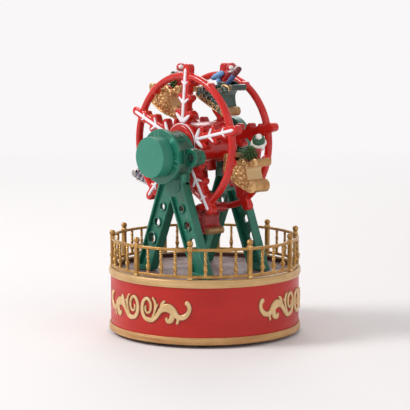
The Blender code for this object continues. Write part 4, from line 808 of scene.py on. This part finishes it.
def build_stand(name, side, centre_z):
    """Channel-section A-frame: outline walls over the full depth, a thin web between them, a rounded bead
    along the front edge of the walls, and a raised ring round each hole."""
    def y(d):
        return MID_Y + side * (STAND_OUT - d)

    def slab(loops, d0, d1, edge):
        return flat_shape(loops, *sorted((y(d0), y(d1))), edge)

    front = side < 0
    top = HEAD_Z - HEAD_R - 1.4
    crown = top + 5.4 if front else top
    start = math.degrees(math.acos(NECK_W / HEAD_R))
    # the front legs end inside the drive head, the rear ones in a round head of their own
    ends = [(NECK_W, top + 7.0), (-NECK_W, top + 7.0)] if front \
        else circle(HEAD_R, (0, centre_z), 64, -start, 180 + start)
    walls = np.vstack([leg_line(), ends])
    shape = slab([walls, pocket_loop(crown, 1.85, 3.8)], 0, 3.4, 0.45)
    shape.join(slab([walls, pocket_loop(crown)], 2.6, STAND_D, 0.45))
    shape.join(carried(at_depth(pocket_loop(crown, 1.2, 3.2), y(0.15)), round_section(0.60, 10, 0.5 / 0.60),
                       up=(0, 1, 0), closed=True))
    if front:
        # the round part behind the front half of the head is thinner than the legs
        face, back = -30.85, -26.6
        shape.join(turned(soften([(0, face), (HEAD_R, face), (HEAD_R, back), (0, back)], 0.5, True, 4), 96, "Y",
                          (0, 0, HEAD_Z)))
        neck = [(-12.3, top + 1), (-12.3, top - 2), (12.3, top - 2), (12.3, top + 1), (12.6, HEAD_Z - 10),
                (-12.6, HEAD_Z - 10)]
        shape.join(flat_shape([soften(neck, 0.4)], face, back, 0.4))
        ear = np.vstack([circle(5.5, (23.5, HEAD_Z), 24, -100, 100),
                         [(14.0, HEAD_Z + 6.0), (14.0, HEAD_Z - 6.0)]])
        for sx in (-1, 1):
            shape.join(flat_shape([mirrored(ear, sx)], face + 0.05, back - 0.1, 0.7))
    holes = []
    for drop, shift, r in LEG_HOLES:
        z = HEAD_Z - drop
        x = leg_outer(z) - LEG_W / 2 + shift
        holes += [(x, z, r), (-x, z, r)]
    web = [pocket_loop(crown + 1, 0.9, 2.0)] + [circle(r, (x, z), 36) for x, z, r in holes]
    shape.join(slab(web, WEB_IN, WEB_IN + 1.3, 0.12))
    for x, z, r in holes:
        ring = [(r + wide, y(WEB_IN + d))
                for wide, d in ((0, 0.9), (0, -1.1), (0.45, -1.3), (0.95, -1.1), (1.2, 0.9))]
        shape.join(turned(soften(ring, 0.25, True, 3), 36, "Y", (x, 0, z)))
    if front:
        # the curved step where the neck meets the right leg
        line = [(1.6, 103.3), (4.8, 104.6), (6.8, 106.2), (7.5, 108.9), (7.9, 111.2)]
        rows = relief(line, [0.6, 0.75, 0.75, 0.7, 0.55], 0.95, 6, 9)
        shape.join(relief_shape(rows, on_plane(y(WEB_IN), side)))
    make(shape, name + "_moulding", "plinth", "stand_green", [name], sharp=32)


def build_head():
    """Drive head: flange, case with its two ears, winding cap and screws. The flange's two flats are
    r = min(r, 18.9 / |cos a|) where the flange stands out."""
    def flats(r, h, a):
        edge = 18.9 / np.maximum(np.abs(np.cos(a)), 0.2)
        return np.where(r > HEAD_R + 0.1, np.minimum(r, edge), r)

    at = (0, 0, HEAD_Z)
    seam = -31.15
    flange = [(0, -44.0), (19.6, -44.0), (19.6, -41.0), (17.0, -41.0), (17.0, -40.2), (0, -40.2)]
    make(turned(soften(flange, [0.1, 0.8, 0.8, 0.4, 0.2, 0.1]), 144, "Y", at, flats), "head_flange", "plinth",
         "stand_green", ["head_case_front"], sharp=50)
    profile = [(0, -41.6), (HEAD_R, -41.6), (HEAD_R, seam), (0, seam)]
    shape = turned(soften(profile, [0.1, 0.3, 0.3, 0.1]), 144, "Y", at)
    cup = soften([(0, -33.4), (3.4, -33.4), (3.4, -36.4), (6.9, -36.4), (6.9, seam), (0, seam)],
                 [0, 0.2, 0.45, 1.0, 0.2, 0])
    web = np.vstack([[(15.2, HEAD_Z + 6.9), (15.2, HEAD_Z - 6.9), (20.6, HEAD_Z - 5.9)],
                     circle(4.2, (EAR_X, HEAD_Z), 14, 236, 124), [(20.6, HEAD_Z + 5.9)]])
    for sx in (-1, 1):
        shape.join(turned(cup, 48, "Y", (sx * EAR_X, 0, HEAD_Z)))
        shape.join(flat_shape([mirrored(web, sx)], -35.4, -31.2, 0.4))
    blend_moulding(make(shape, "head_moulding", "plinth", "case_green_painted_shade", ["head_case_front"]), 0.36, 3)

    cap = soften([(0, -54.3), (14.6, -54.3), (14.6, -44.3), (12.8, -44.3), (12.8, -52.3), (0, -52.3)],
                 [0, 0.75, 0.35, 0.2, 0.2, 0], True, 6)
    make(turned(cap, 144, "Y", at), "winding_cap_moulding", "winder", "cap_green", ["winding_cap"], sharp=60)
    for k, sx in ((1, -1), (2, 1)):
        build_screw("head_screw_%d" % k, (sx * EAR_X, -33.3, HEAD_Z), 2.2, 0.9, 6.3)


def build_screw(name, at, r, high, length):
    """Pan head with a cross recess, facing forward: height high (1 - 0.45 (q / r)^3), less 0.6 along two
    crossed grooves."""
    q, a = np.meshgrid(np.linspace(0, r, 15), np.linspace(0, 2 * math.pi, 48, endpoint=False), indexing="ij")
    x, y = q * np.cos(a), q * np.sin(a)
    groove = np.maximum(*(np.exp(-(p / 0.28) ** 6) * (np.abs(s) < 1.55) for p, s in ((x, y), (y, x))))
    rows = [np.stack([x, y, high * (1 - 0.45 * (q / r) ** 3) - 0.6 * groove], -1)]
    for rr, zz in ((r, 0.0), (r * 0.4, 0.0), (r * 0.4, -length), (0, -length)):
        rows.append(np.stack([rr * np.cos(a[:1]), rr * np.sin(a[:1]), np.full((1, 48), zz)], -1))
    points = np.concatenate(rows)
    shape = Shape().join(Shape().add(points, grid_faces(len(points), 48, False, True)), basis((0, -1, 0)), at)
    make(shape, name + "_metal", "plinth", "screw_steel", [name], sharp=35)


# wheel

ARM_END = 53.7
BRANCH = math.radians(50)   # lean of the branches away from the arm
PIN_TURN = 45.3             # degrees from an arm to the next sleigh's pin


def arm_line(x, across, k):
    """A point x out along arm k and across it, in the wheel's plane."""
    a = math.radians(PHASE + 90 + 72 * k)
    return (x * math.cos(a) - across * math.sin(a), AXLE_Z + x * math.sin(a) + across * math.cos(a))


def build_rim(name, side):
    """Round ring, five arms with three pairs of slanting branches, hub and pin bosses, run into one
    moulding. Each bar is an outline of two long sides and two half circles."""
    at = (0, 0, AXLE_Z)

    def y(d):
        return MID_Y + side * (PLATE_OUT - d)

    def bar(x0, x1, z1, half, k):
        run = math.degrees(math.atan2(z1, x1 - x0))
        loop = np.vstack([circle(half, (x1, z1), 14, run - 90, run + 90),
                          circle(half, (x0, 0), 14, run + 90, run + 270)])
        loop = np.array([arm_line(px, pz, k) for px, pz in loop])
        return plate(loop, *sorted((y(0.0), y(PLATE_T))), 0.9, 5)

    ring = round_section(RIM_TUBE, 28)
    ring = np.stack([RIM_R + ring[:, 0] * 0.93, y(PLATE_T / 2) + ring[:, 1] * 1.08], -1)
    shape = turned(ring, 220, "Y", at)
    pin = math.radians(PIN_TURN)
    for k in range(5):
        shape.join(bar(13.0, ARM_END, 0, 3.3, k))
        for up in (-1, 1):
            shape.join(bar(41.8, 41.8 + 1.6, up * 2.9, 2.0, k))
        for x0, length in ((29.2, 6.0), (16.6, 8.2)):
            for up in (-1, 1):
                shape.join(bar(x0, x0 + length * math.cos(BRANCH), up * length * math.sin(BRANCH), 2.45, k))
        x, z = arm_line(RIM_R * math.cos(pin), RIM_R * math.sin(pin), k)
        boss = soften([(0, y(1.2)), (2.9, y(1.2)), (2.9, y(PLATE_T + 0.75)), (0, y(PLATE_T + 0.75))], 0.4)
        shape.join(turned(boss, 28, "Y", (x, 0, z)))
    hub = soften([(0, y(0)), (15.3, y(0)), (15.3, y(PLATE_T)), (0, y(PLATE_T))], 0.7)
    shape.join(turned(hub, 96, "Y", at))
    blend_moulding(make(shape, name + "_moulding", "wheel", "wheel_red", [name]), 0.5, 3)

    # white inlay: raised lines down each arm with a V at every branch, and a line round the hub
    lines = Shape()

    def inlay(path, widths, rise, samples):
        lines.join(relief_shape(relief(path, widths, rise, samples, 9), on_plane(y(0), side)))

    for k in range(5):
        inlay([arm_line(x, 0, k) for x in (14.0, 24.0, 36.0, 46.0, 53.9)],
              [1.25, 1.2, 1.15, 1.15, 1.15], 0.9, 5)
        for x0, length, w in ((42.0, 4.0, 0.75), (28.6, 6.6, 0.95), (15.2, 9.4, 1.5)):
            for up in (-1, 1):
                inlay([arm_line(x0 + length * t * math.cos(BRANCH), up * length * t * math.sin(BRANCH), k)
                       for t in (0, 0.4, 0.75, 1.0)], [w, w, w * 0.8, 0.3], 0.8, 4)
    rise = y(-0.45)
    lines.join(turned(soften([(13.6, y(0.1)), (13.6, rise), (14.3, rise), (14.3, y(0.1))], 0.2), 96, "Y", at))
    make(lines, name + "_lines", "wheel", "white_inlay", [name + "_inlay"], sharp=60)

    near, far = y(-0.95), y(-2.15)
    cap = [(0, near), (13.4, near), (13.4, (near + far) / 2), (12.7, far), (0, far)]
    make(turned(soften(cap, [0, 0.2, 0.3, 0.6, 0]), 96, "Y", at), name + "_hub_disc", "wheel", "wheel_red",
         [name + "_hub_cap"], sharp=60)


def build_wheel():
    """Two rims and the drum between them. The drum's radius has a bead at each end and a shallow waist."""
    build_rim("front_rim", -1)
    build_rim("rear_rim", 1)
    t = np.linspace(-1, 1, 41)
    r = 14.5 - 0.35 * (1 - t ** 8) + 0.35 * np.exp(-((np.abs(t) - 0.9) / 0.05) ** 2)
    half = 15.0
    profile = np.vstack([[(0, -half)], [(13.6, -half)], np.stack([np.minimum(r, 14.5), t * (half - 0.5)], -1),
                         [(13.6, half)], [(0, half)]])
    profile[:, 1] += MID_Y
    make(turned(profile, 120, "Y", (0, 0, AXLE_Z)), "drum_moulding", "wheel", "wheel_red", ["centre_drum"],
         sharp=50)


# sleighs. Their outline is (u, w) in millimetres, u along the bottom and w up, and y runs across. Each kind
# has its rolls as (u, w, radius): nose, top roll and back roll

HIGH_BACK = dict(
    rolls=((27.6, 4.7, 4.6), (26.0, 21.5, 2.9), (-0.9, 16.2, 2.6)),
    start=[(-1.4, 8.2), (1.2, 5.2), (5.5, 3.2), (12.0, 1.1), (19.0, 0.3), (24.0, 0.1)],
    front=[(22.4, 10.4), (20.6, 13.6), (21.2, 17.2)],
    rear=[(10.6, 16.2), (7.0, 14.6), (3.4, 14.5)], close=[(-2.1, 12.0)],
    floor=[(-0.9, 14.6), (-0.9, 10.6), (0.0, 7.6), (3.0, 5.4), (9.0, 2.9), (15.0, 1.6), (23.0, 1.3)])
LOW_BACK = dict(
    rolls=((24.9, 3.3, 3.3), (23.6, 21.6, 2.2), (-6.4, 4.9, 1.9)),
    start=[(-5.6, 2.9), (-3.0, 0.3), (6.0, 0.0), (22.0, 0.0)],
    front=[(20.2, 8.0), (17.8, 12.2), (18.6, 17.0)],
    rear=[(10.6, 16.2), (6.6, 13.9), (1.4, 10.4), (-2.2, 7.8)], close=[(-7.4, 3.6)],
    floor=[(-6.6, 4.9), (-3.6, 2.2), (2.0, 1.2), (9.0, 1.1), (15.0, 1.1), (22.0, 1.3)])
THICK_BACK = dict(
    LOW_BACK, rolls=(*LOW_BACK["rolls"][:2], (-4.6, 3.6, 2.7)),
    start=[(-3.4, 0.9), (-0.6, -0.3), (6.0, -0.2), (22.0, 0.0)], close=[(-6.4, 1.8)],
    floor=[(-3.6, 5.2), (-2.0, 2.2), (2.0, 1.1), (9.0, 1.0), (15.0, 1.1), (21.0, 1.3)])
SMALL_NOSE = dict(
    rolls=((27.0, 5.0, 2.6), (25.4, 21.4, 2.6), (-1.2, 12.0, 2.0)),
    start=[(-1.8, 9.6), (-1.0, 3.0), (2.0, 0.2), (20.0, 0.2), (24.5, 2.2)],
    front=[(23.4, 8.4), (21.6, 12.6), (21.8, 17.2)],
    rear=[(10.6, 16.2), (6.6, 13.9), (2.4, 12.9)], close=[(-2.8, 11.0)],
    floor=[(-1.2, 11.0), (-0.6, 4.6), (2.0, 1.3), (9.0, 1.1), (15.0, 1.1), (21.0, 1.2)])
# the curl round the pin ear: centre line and half widths
EAR = ([(11.2, 16.0), (12.4, 18.6), (14.8, 20.2), (17.6, 19.4), (18.2, 17.2), (16.6, 16.3)],
       [0.45, 0.6, 0.75, 0.7, 0.6, 0.35])
LONG_EAR = ([(13.6, 14.6), (14.8, 17.0), (17.0, 19.9), (19.2, 20.9), (21.9, 21.3), (23.6, 20.6), (24.0, 18.8)],
            [0.5, 0.8, 0.85, 0.8, 0.75, 0.65, 0.35])
SIDE_IN, SIDE_OUT = 6.0, 7.5    # faces of a side from the sleigh's middle
CARVED = 7.42       # the relief starts just under the outer face
ROLL_END = 7.62


def in_sleigh(k, shape):
    """Turns and shifts a shape given as (u, y, w) to its place on pin k, nose down by its tilt."""
    a = math.radians(PHASE + 90 + PIN_TURN - 72 * k)
    t = math.radians(TILTS[k])
    turn = np.array([[math.cos(t), 0, math.sin(t)], [0, 1, 0], [-math.sin(t), 0, math.cos(t)]])
    pin = np.array([RIM_R * math.cos(a), MID_Y, AXLE_Z + RIM_R * math.sin(a)])
    return Shape().join(shape, turn, pin - turn @ np.array([PIN_AT[0], 0, PIN_AT[1]]))


def side_loop(kind):
    nose, roll, back = kind["rolls"]
    return np.vstack([kind["start"], circle(nose[2], nose[:2], 18, -90, 138), kind["front"],
                      circle(roll[2], roll[:2], 14, -112, 158), [(20.2, 20.0)],
                      circle(3.2, PIN_AT, 12, 35, 145), kind["rear"],
                      circle(back[2], back[:2], 10, 40, 190), kind["close"]])


def curl(centre, r0, r1, start, turns, count=16):
    """Spiral: radius runs evenly from r0 to r1 while the angle turns."""
    t = np.linspace(0, 1, count)
    a = np.radians(start) + 2 * math.pi * turns * t
    r = r0 + (r1 - r0) * t
    return np.stack([centre[0] + r * np.cos(a), centre[1] + r * np.sin(a)], -1)


def leaf_lump(u, w, size, lean, out):
    """A small raised leaf: half widths rise and fall along a bent line, crowned to height out."""
    t = np.linspace(-1, 1, 5)
    bend = lean + 0.5 * t
    path = np.stack([u + size * t * np.cos(bend), w + size * t * np.sin(bend)], -1)
    return relief(path, 0.12 + 0.55 * size * (1 - t * t), out, 2, 7, 0.0, 2)


def inside(loop, u, w):
    """Whether each (u, w) lies within the loop, by counting the sides crossed on the way out."""
    x0, z0 = loop[:, 0], loop[:, 1]
    x1, z1 = np.roll(x0, -1), np.roll(z0, -1)
    u, w = np.asarray(u)[:, None], np.asarray(w)[:, None]
    cross = ((z0 > w) != (z1 > w)) & (u < (x1 - x0) * (w - z0) / (z1 - z0 + 1e-12) + x0)
    return cross.sum(1) % 2 == 1


def leaf_lumps(loop):
    """Leaves spread over the side by the sunflower rule, r = 1.68 sqrt(i), angle 137.5 i, and kept within
    the outline. Their sizes and leans vary by sines of their number."""
    i = np.arange(100)
    r, a = 1.68 * np.sqrt(i + 0.3), np.radians(137.5) * i
    u, w = 11.5 + r * np.cos(a) * 1.15, 8.5 + r * np.sin(a) * 0.95
    within = inside(loop, u, w) & inside(loop, u + 1.1, w + 1.0) & inside(loop, u - 1.1, w - 1.0)
    return [leaf_lump(u[n], w[n], 1.65 + 0.45 * math.sin(n * 2.4), a[n] * 0.5 + 0.9 * math.sin(n * 1.7),
                      1.05 + 0.3 * math.sin(n)) for n in np.flatnonzero(within)]


def build_sleigh(k, kind, looks, ear=EAR, low_roll=()):
    """Shell from the side outline with rounded rolls, a floor and a dashboard strip between the sides, and
    relief on the sides. looks gives the finishes of body, trim, lining, dash, rolls and leaves. Without
    leaves the whole side is carved in the trim's finish. Each roll's end carries a spiral."""
    body, name = "gondola_%d" % (k + 1), "sleigh_%d" % (k + 1)
    nose, roll, back = kind["rolls"]

    def put(shape, label, look, nodes=(), sharp=40.0):
        make(in_sleigh(k, shape), name + "_" + label, body, look, nodes, sharp)

    def band(path, half, thick):
        return carried(at_depth(spline(path, 5), 0.0),
                       [(thick, -half), (thick, half), (-thick, half), (-thick, -half)], up=(0, 1, 0))

    shell = Shape()
    loop = side_loop(kind)
    for sy in (-1, 1):
        shell.join(plate(soften(loop, 0.5, True, 2), *sorted((sy * SIDE_IN, sy * SIDE_OUT)), 0.45, 4))
        pin = soften([(0, sy * 7.0), (1.2, sy * 7.0), (1.2, sy * 14.2), (0, sy * 14.2)], 0.15)
        shell.join(turned(pin, 20, "Y", (PIN_AT[0], 0, PIN_AT[1])))
    shell.join(band(kind["floor"], 6.6, 0.9))
    put(shell, "body", looks["body"], [name])

    # the dashboard curves in between the top roll and the nose
    front = [(nose[0] - 0.72 * nose[2], nose[1] + 0.62 * nose[2]), *kind["front"],
             (roll[0] - 1.0, roll[1] - 1.5)]
    put(band([(u - 0.4, w) for u, w in front], 7.3, 0.85), "dashboard", looks["dash"], sharp=60)

    t = np.linspace(-1, 1, 25)

    def uneven(q, h, a):
        return q * (1 + 0.018 * np.sin(9 * a + h * 0.4) + 0.012 * np.sin(17 * a - h * 0.7))

    labels = ("nose", "top_roll", "back_roll", "low_roll")
    for (u, w, r), label, look in zip((nose, roll, back, *low_roll), labels, looks["rolls"]):
        barrel = np.stack([(r + 0.05) * (1 - 0.03 * (1 - t ** 2)), 7.4 * t], -1)
        rolled = turned(np.vstack([[(0, -ROLL_END), (r * 0.86, -ROLL_END)], barrel,
                                   [(r * 0.86, ROLL_END), (0, ROLL_END)]]), 48, "Y", (u, 0, w), uneven)
        end = curl((u, w), r * 0.10, r * 0.74, 40, 1.35)
        rows = relief(end, np.linspace(0.22, 0.58, len(end)) * r / 3.4, 0.75 * min(r / 3.4, 1.0), 3, 7)
        for sy in (-1, 1):
            rolled.join(relief_shape(rows, on_plane(sy * SIDE_OUT, sy, deep=0.3)))
        put(rolled, label, look, sharp=50)

    edge = np.array(kind["start"])
    runs = [(edge + np.array([0.3, 0.75]), np.full(len(edge), 0.6)), ear]
    lumps = leaf_lumps(loop)
    leafy = "leaves" in looks
    if leafy:
        runs += [(curl((1.0 + 4.6 * i, 3.5), 0.3, 1.75, 250 - 20 * i, -1.15, 12), np.linspace(0.3, 0.5, 12))
                 for i in range(5)]
        lumps = [rows for rows in lumps if rows[..., 1].min() > 3.9]
    carving = Shape()
    leaves = Shape() if leafy else carving
    for sy in (-1, 1):
        for path, widths in runs:
            carving.join(relief_shape(relief(path, widths, 0.75, 2, 7), on_plane(sy * CARVED, sy, deep=0.3)))
        for rows in lumps:
            leaves.join(relief_shape(rows, on_plane(sy * CARVED, sy, 0.8 if leafy else 1.0, 0.3)))
    put(carving, "carving", looks["trim"], sharp=60)
    if leafy:
        put(leaves, "leaves", looks["leaves"], sharp=60)

    # painted lining: inner faces and a soft lip along the open top
    lining = Shape()
    inner = np.vstack([np.array(kind["floor"])[1:] + [0.4, 0.9], [(19.6, 7.0), (17.8, 12.0), (18.2, 17.0)],
                       (12.0, 16.4), np.array(kind["rear"])[1:] - [0, 0.9]])
    lip = spline(np.vstack([[(20.4, 18.9), (18.9, 20.6), (15.6, 21.5), (11.9, 19.6)], kind["rear"]]), 5)
    for sy in (-1, 1):
        lining.join(plate(soften(inner, 0.5), *sorted((sy * 5.75, sy * 6.05)), 0.1, 2))
        lining.join(carried(at_depth(lip, sy * 6.3), round_section(0.7, 10), up=(0, 1, 0)))
    put(lining, "lining", looks["lining"])


# riders and cargo

def build_rider(k, coat, hat, foot, crown, r, top, bobble, fur_r=0.28):
    """A small figure from foot to the middle of the hat. The coat is a bell whose radius ripples as
    1 + 0.05 cos 5a. The hat is a dome about the direction top, with a fur brim, and a bobble of 0.5 r."""
    foot, crown, top, bobble = (np.asarray(v, float) for v in (foot, crown, top, bobble))
    top, bobble = top / np.linalg.norm(top), bobble / np.linalg.norm(bobble)
    high = np.linalg.norm(crown - foot)
    name = "figure_%d" % (k + 1)

    def put(shape, label, look, nodes=()):
        make(in_sleigh(k, shape), name + "_" + label, "gondola_%d" % (k + 1), look, nodes, 60)

    profile = spline([(0, 0.0), (0.80, 0.01), (0.88, 0.14), (0.82, 0.44), (0.95, 0.64), (0.84, 0.80),
                      (0.55, 0.90), (0, 0.92)], 6) * [r, high]
    coat_shape = turned(on_axis(profile), 40, change=lambda q, h, a: q * (1 + 0.05 * np.cos(5 * a)))
    for side in (-1, 1):
        arm = spline([(side * 0.7 * r, 0, 0.78 * high), (side * 1.1 * r, -0.3 * r, 0.68 * high),
                      (side * 0.8 * r, -0.9 * r, 0.61 * high)], 5)
        coat_shape.join(carried(arm, round_section(0.3 * r, 12)))
    put(Shape().join(coat_shape, basis(crown - foot), foot), "coat", coat, [name])

    dome = spline([(0, -0.5), (0.90, -0.45), (1.0, -0.1), (0.94, 0.42), (0.6, 0.84), (0, 1.0)], 8) * r
    put(Shape().join(turned(on_axis(dome), 36), basis(top), crown), "hat", hat)
    put(ball(0.80 * r, tuple(crown - top * 0.72 * r), 18, 28), "face", "figure_skin")
    brim = np.column_stack([circle(0.92 * r, (0, 0), 40), np.full(40, -0.42 * r)])
    fur = Shape().join(carried(brim, round_section(fur_r * r, 12), closed=True), basis(top), crown)
    fur.join(ball(0.5 * r, tuple(crown + bobble * 0.95 * r), 14, 20))
    # the beard lies ahead of the face
    ahead = np.array([1.0, 0.1, 0.0]) - top * top[0]
    fur.join(ball(0.66 * r, tuple(crown - top * 1.15 * r + ahead * 0.35 * r), 12, 18, 0.95))
    put(fur, "fur", "white_fur")


def build_fir(k, foot, tip, spread, widest=0.30, count=74):
    """A fir from foot to tip: a stem with drooping branches set round it by the golden angle, longest at the
    share widest of the crown. A branch is a bent leaf with a ragged edge, 1 + 0.3 sin(21 t)."""
    foot, tip = np.asarray(foot, float), np.asarray(tip, float)
    high = np.linalg.norm(tip - foot)
    low = high * 0.55
    shape = turned([(0, 0), (1.2, 0.05), (1.1, high * 0.66), (0.5, high * 0.97), (0, high)], 14)
    rows, cols = 9, 10
    t = np.linspace(0, 1, rows)
    a = np.linspace(0, 2 * math.pi, cols, endpoint=False)
    for n in range(count):
        f = n / (count - 1)
        away = (widest - f) / widest if f < widest else (f - widest) / (1 - widest)
        reach = 1.7 + (spread - 1.7) * (1 - away ** 1.6)
        q = 0.35 + reach * t
        drop = low + (high - low) * 0.97 * f + 0.35 * reach * t - 0.42 * reach * t ** 2 * (1.5 - f)
        wide = 0.22 + 0.55 * np.sin(math.pi * np.clip(t + 0.12, 0, 1)) * (1 + 0.30 * np.sin(21 * t + n))
        wide[-1] = 0.10
        ring = np.stack([np.broadcast_to(q[:, None], (rows, cols)), wide[:, None] * np.cos(a)[None],
                         drop[:, None] + 0.42 * wide[:, None] * np.sin(a)[None]], -1)
        twig = capped(ring, rows, cols)
        c, s = math.cos(math.radians(137.5) * n), math.sin(math.radians(137.5) * n)
        shape.join(twig, np.array([[c, -s, 0], [s, c, 0], [0, 0, 1]]))
    name = "tree_%d" % (k + 1)
    make(in_sleigh(k, Shape().join(shape, basis(tip - foot), foot)), name + "_branches", "gondola_%d" % (k + 1),
         "fir_green", [name], 35)


def soft_tube(rows):
    """A closed soft tube along (u, y, w, radius), wrinkled along its length."""
    line = spline(np.array(rows, float), 6)
    radius = np.maximum(line[:, 3], 0.05) * (1 + 0.05 * np.sin(np.arange(len(line)) * 1.1))
    return carried(line[:, :3], round_section(1.0, 22), up=(0, 1, 0), scale=radius)


def build_parcels():
    """The blue sack, bent over at its neck, and the long sock with a maroon top."""
    sack = soft_tube([(9.8, -1.0, 2.4, 1.2), (9.8, -1.0, 4.0, 2.0), (9.4, -1.0, 9.0, 2.1),
                      (8.7, -1.0, 14.2, 1.9), (6.4, -1.0, 17.6, 1.7), (4.4, -1.0, 19.6, 1.2)])
    sack.join(soft_tube([(-0.9, -1.0, 15.9, 0.2), (-0.4, -1.0, 16.4, 1.3), (1.2, -1.0, 18.0, 2.0),
                         (4.2, -1.0, 21.4, 2.3), (6.6, -1.0, 24.2, 1.9), (7.5, -1.0, 25.2, 1.0),
                         (7.8, -1.0, 25.5, 0.2)]))
    make(in_sleigh(1, sack), "gift_2_cloth", "gondola_2", "parcel_blue", ["gift_2"], 60)
    foot, tip = np.array([6.7, 1.0, 2.3]), np.array([19.3, 1.0, 35.2])
    # share of the length and radius
    for label, look, nodes, rows in (
            ("cloth", "sock_blue", ["stocking_2"],
             [(0, 0.6), (0.02, 1.4), (0.3, 1.6), (0.55, 1.7), (0.78, 1.75), (0.82, 0.8)]),
            ("cuff", "sock_maroon", (),
             [(0.76, 0.6), (0.775, 1.8), (0.86, 2.0), (0.96, 1.9), (0.99, 1.3), (1.0, 0.2)])):
        tube = soft_tube([(*(foot + (tip - foot) * f), r) for f, r in rows])
        make(in_sleigh(1, tube), "stocking_2_" + label, "gondola_2", look, nodes, 60)


build_plinth()
build_scrolls()
build_fence()
build_stand("front_stand", -1, HEAD_Z)
build_stand("rear_stand", 1, AXLE_Z)
build_head()
build_wheel()

GOLD = dict(body="sleigh_gold", trim="sleigh_gold", lining="sleigh_red", dash="dash_gold_painted_shade",
            rolls=("sleigh_gold",) * 4)
GREEN = dict(body="sleigh_green", trim="sleigh_gold", lining="sleigh_green", dash="sleigh_green",
             rolls=("roll_gold", "roll_green", "roll_gold"), leaves="leaf_paint")
RED = dict(body="sleigh_red", trim="sleigh_red", lining="sleigh_red", dash="sleigh_red",
           rolls=("roll_gold", "sleigh_red", "sleigh_red"), leaves="sleigh_red")
PURPLE = dict(body="sleigh_purple", trim="silver_trim", lining="sleigh_purple", dash="sleigh_purple",
              rolls=("silver_trim", "sleigh_purple", "silver_trim"), leaves="silver_trim")
build_sleigh(0, HIGH_BACK, GOLD)
build_sleigh(1, LOW_BACK, GREEN, LONG_EAR)
build_sleigh(2, HIGH_BACK, GOLD, EAR, [(1.6, 7.4, 2.3)])
build_sleigh(3, SMALL_NOSE, RED)
build_sleigh(4, THICK_BACK, PURPLE)

SIDEWAYS = (0.66, -0.69, 0.36)   # towards the front right
build_rider(0, "hat_red", "hat_red", (13.6, 2.2, 2.3), (15.9, 2.9, 35.0), 3.5, (0.2, -0.4, 0.9), SIDEWAYS)
build_rider(1, "hat_red", "hat_red", (6.6, 2.4, 2.3), (9.9, 2.9, 30.5), 3.35, (-0.55, -0.6, 0.6),
            (0.58, -0.70, 0.20))
build_rider(2, "hat_red", "hat_green", (15.4, 2.2, 2.3), (16.9, 2.9, 34.2), 4.5, (0.15, -0.45, 0.88),
            (0.30, -0.50, 0.80), 0.32)
build_rider(3, "white_fur", "hat_green", (14.0, 0.5, 2.3), (14.9, 0.6, 28.0), 3.5, (0.1, -0.2, 1.0), SIDEWAYS)
build_fir(0, (18.4, -1.4, 2.4), (13.2, -1.2, 31.6), 5.0)
build_fir(2, (11.6, -2.2, 2.4), (16.4, -2.0, 30.2), 9.6, 0.45, 130)
build_fir(4, (14.0, 0.3, 2.4), (15.2, 0.4, 33.5), 5.0)
build_parcels()

# the nodes that are kept as they are: screws, feet, cover and drive
for name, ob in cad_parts.items():
    look = "screw_steel"
    for part, finish in (("rubber", "foot_rubber"), ("bottom_cover", "cover_black"), ("bush", "drive_brass"),
                         ("barrel", "drive_brass"), ("ratchet_wheel", "drive_brass"),
                         ("pinion", "drive_brass")):
        if part in name:
            look = finish
    for place in ob.material_slots:
        place.material = FINISHES[look]
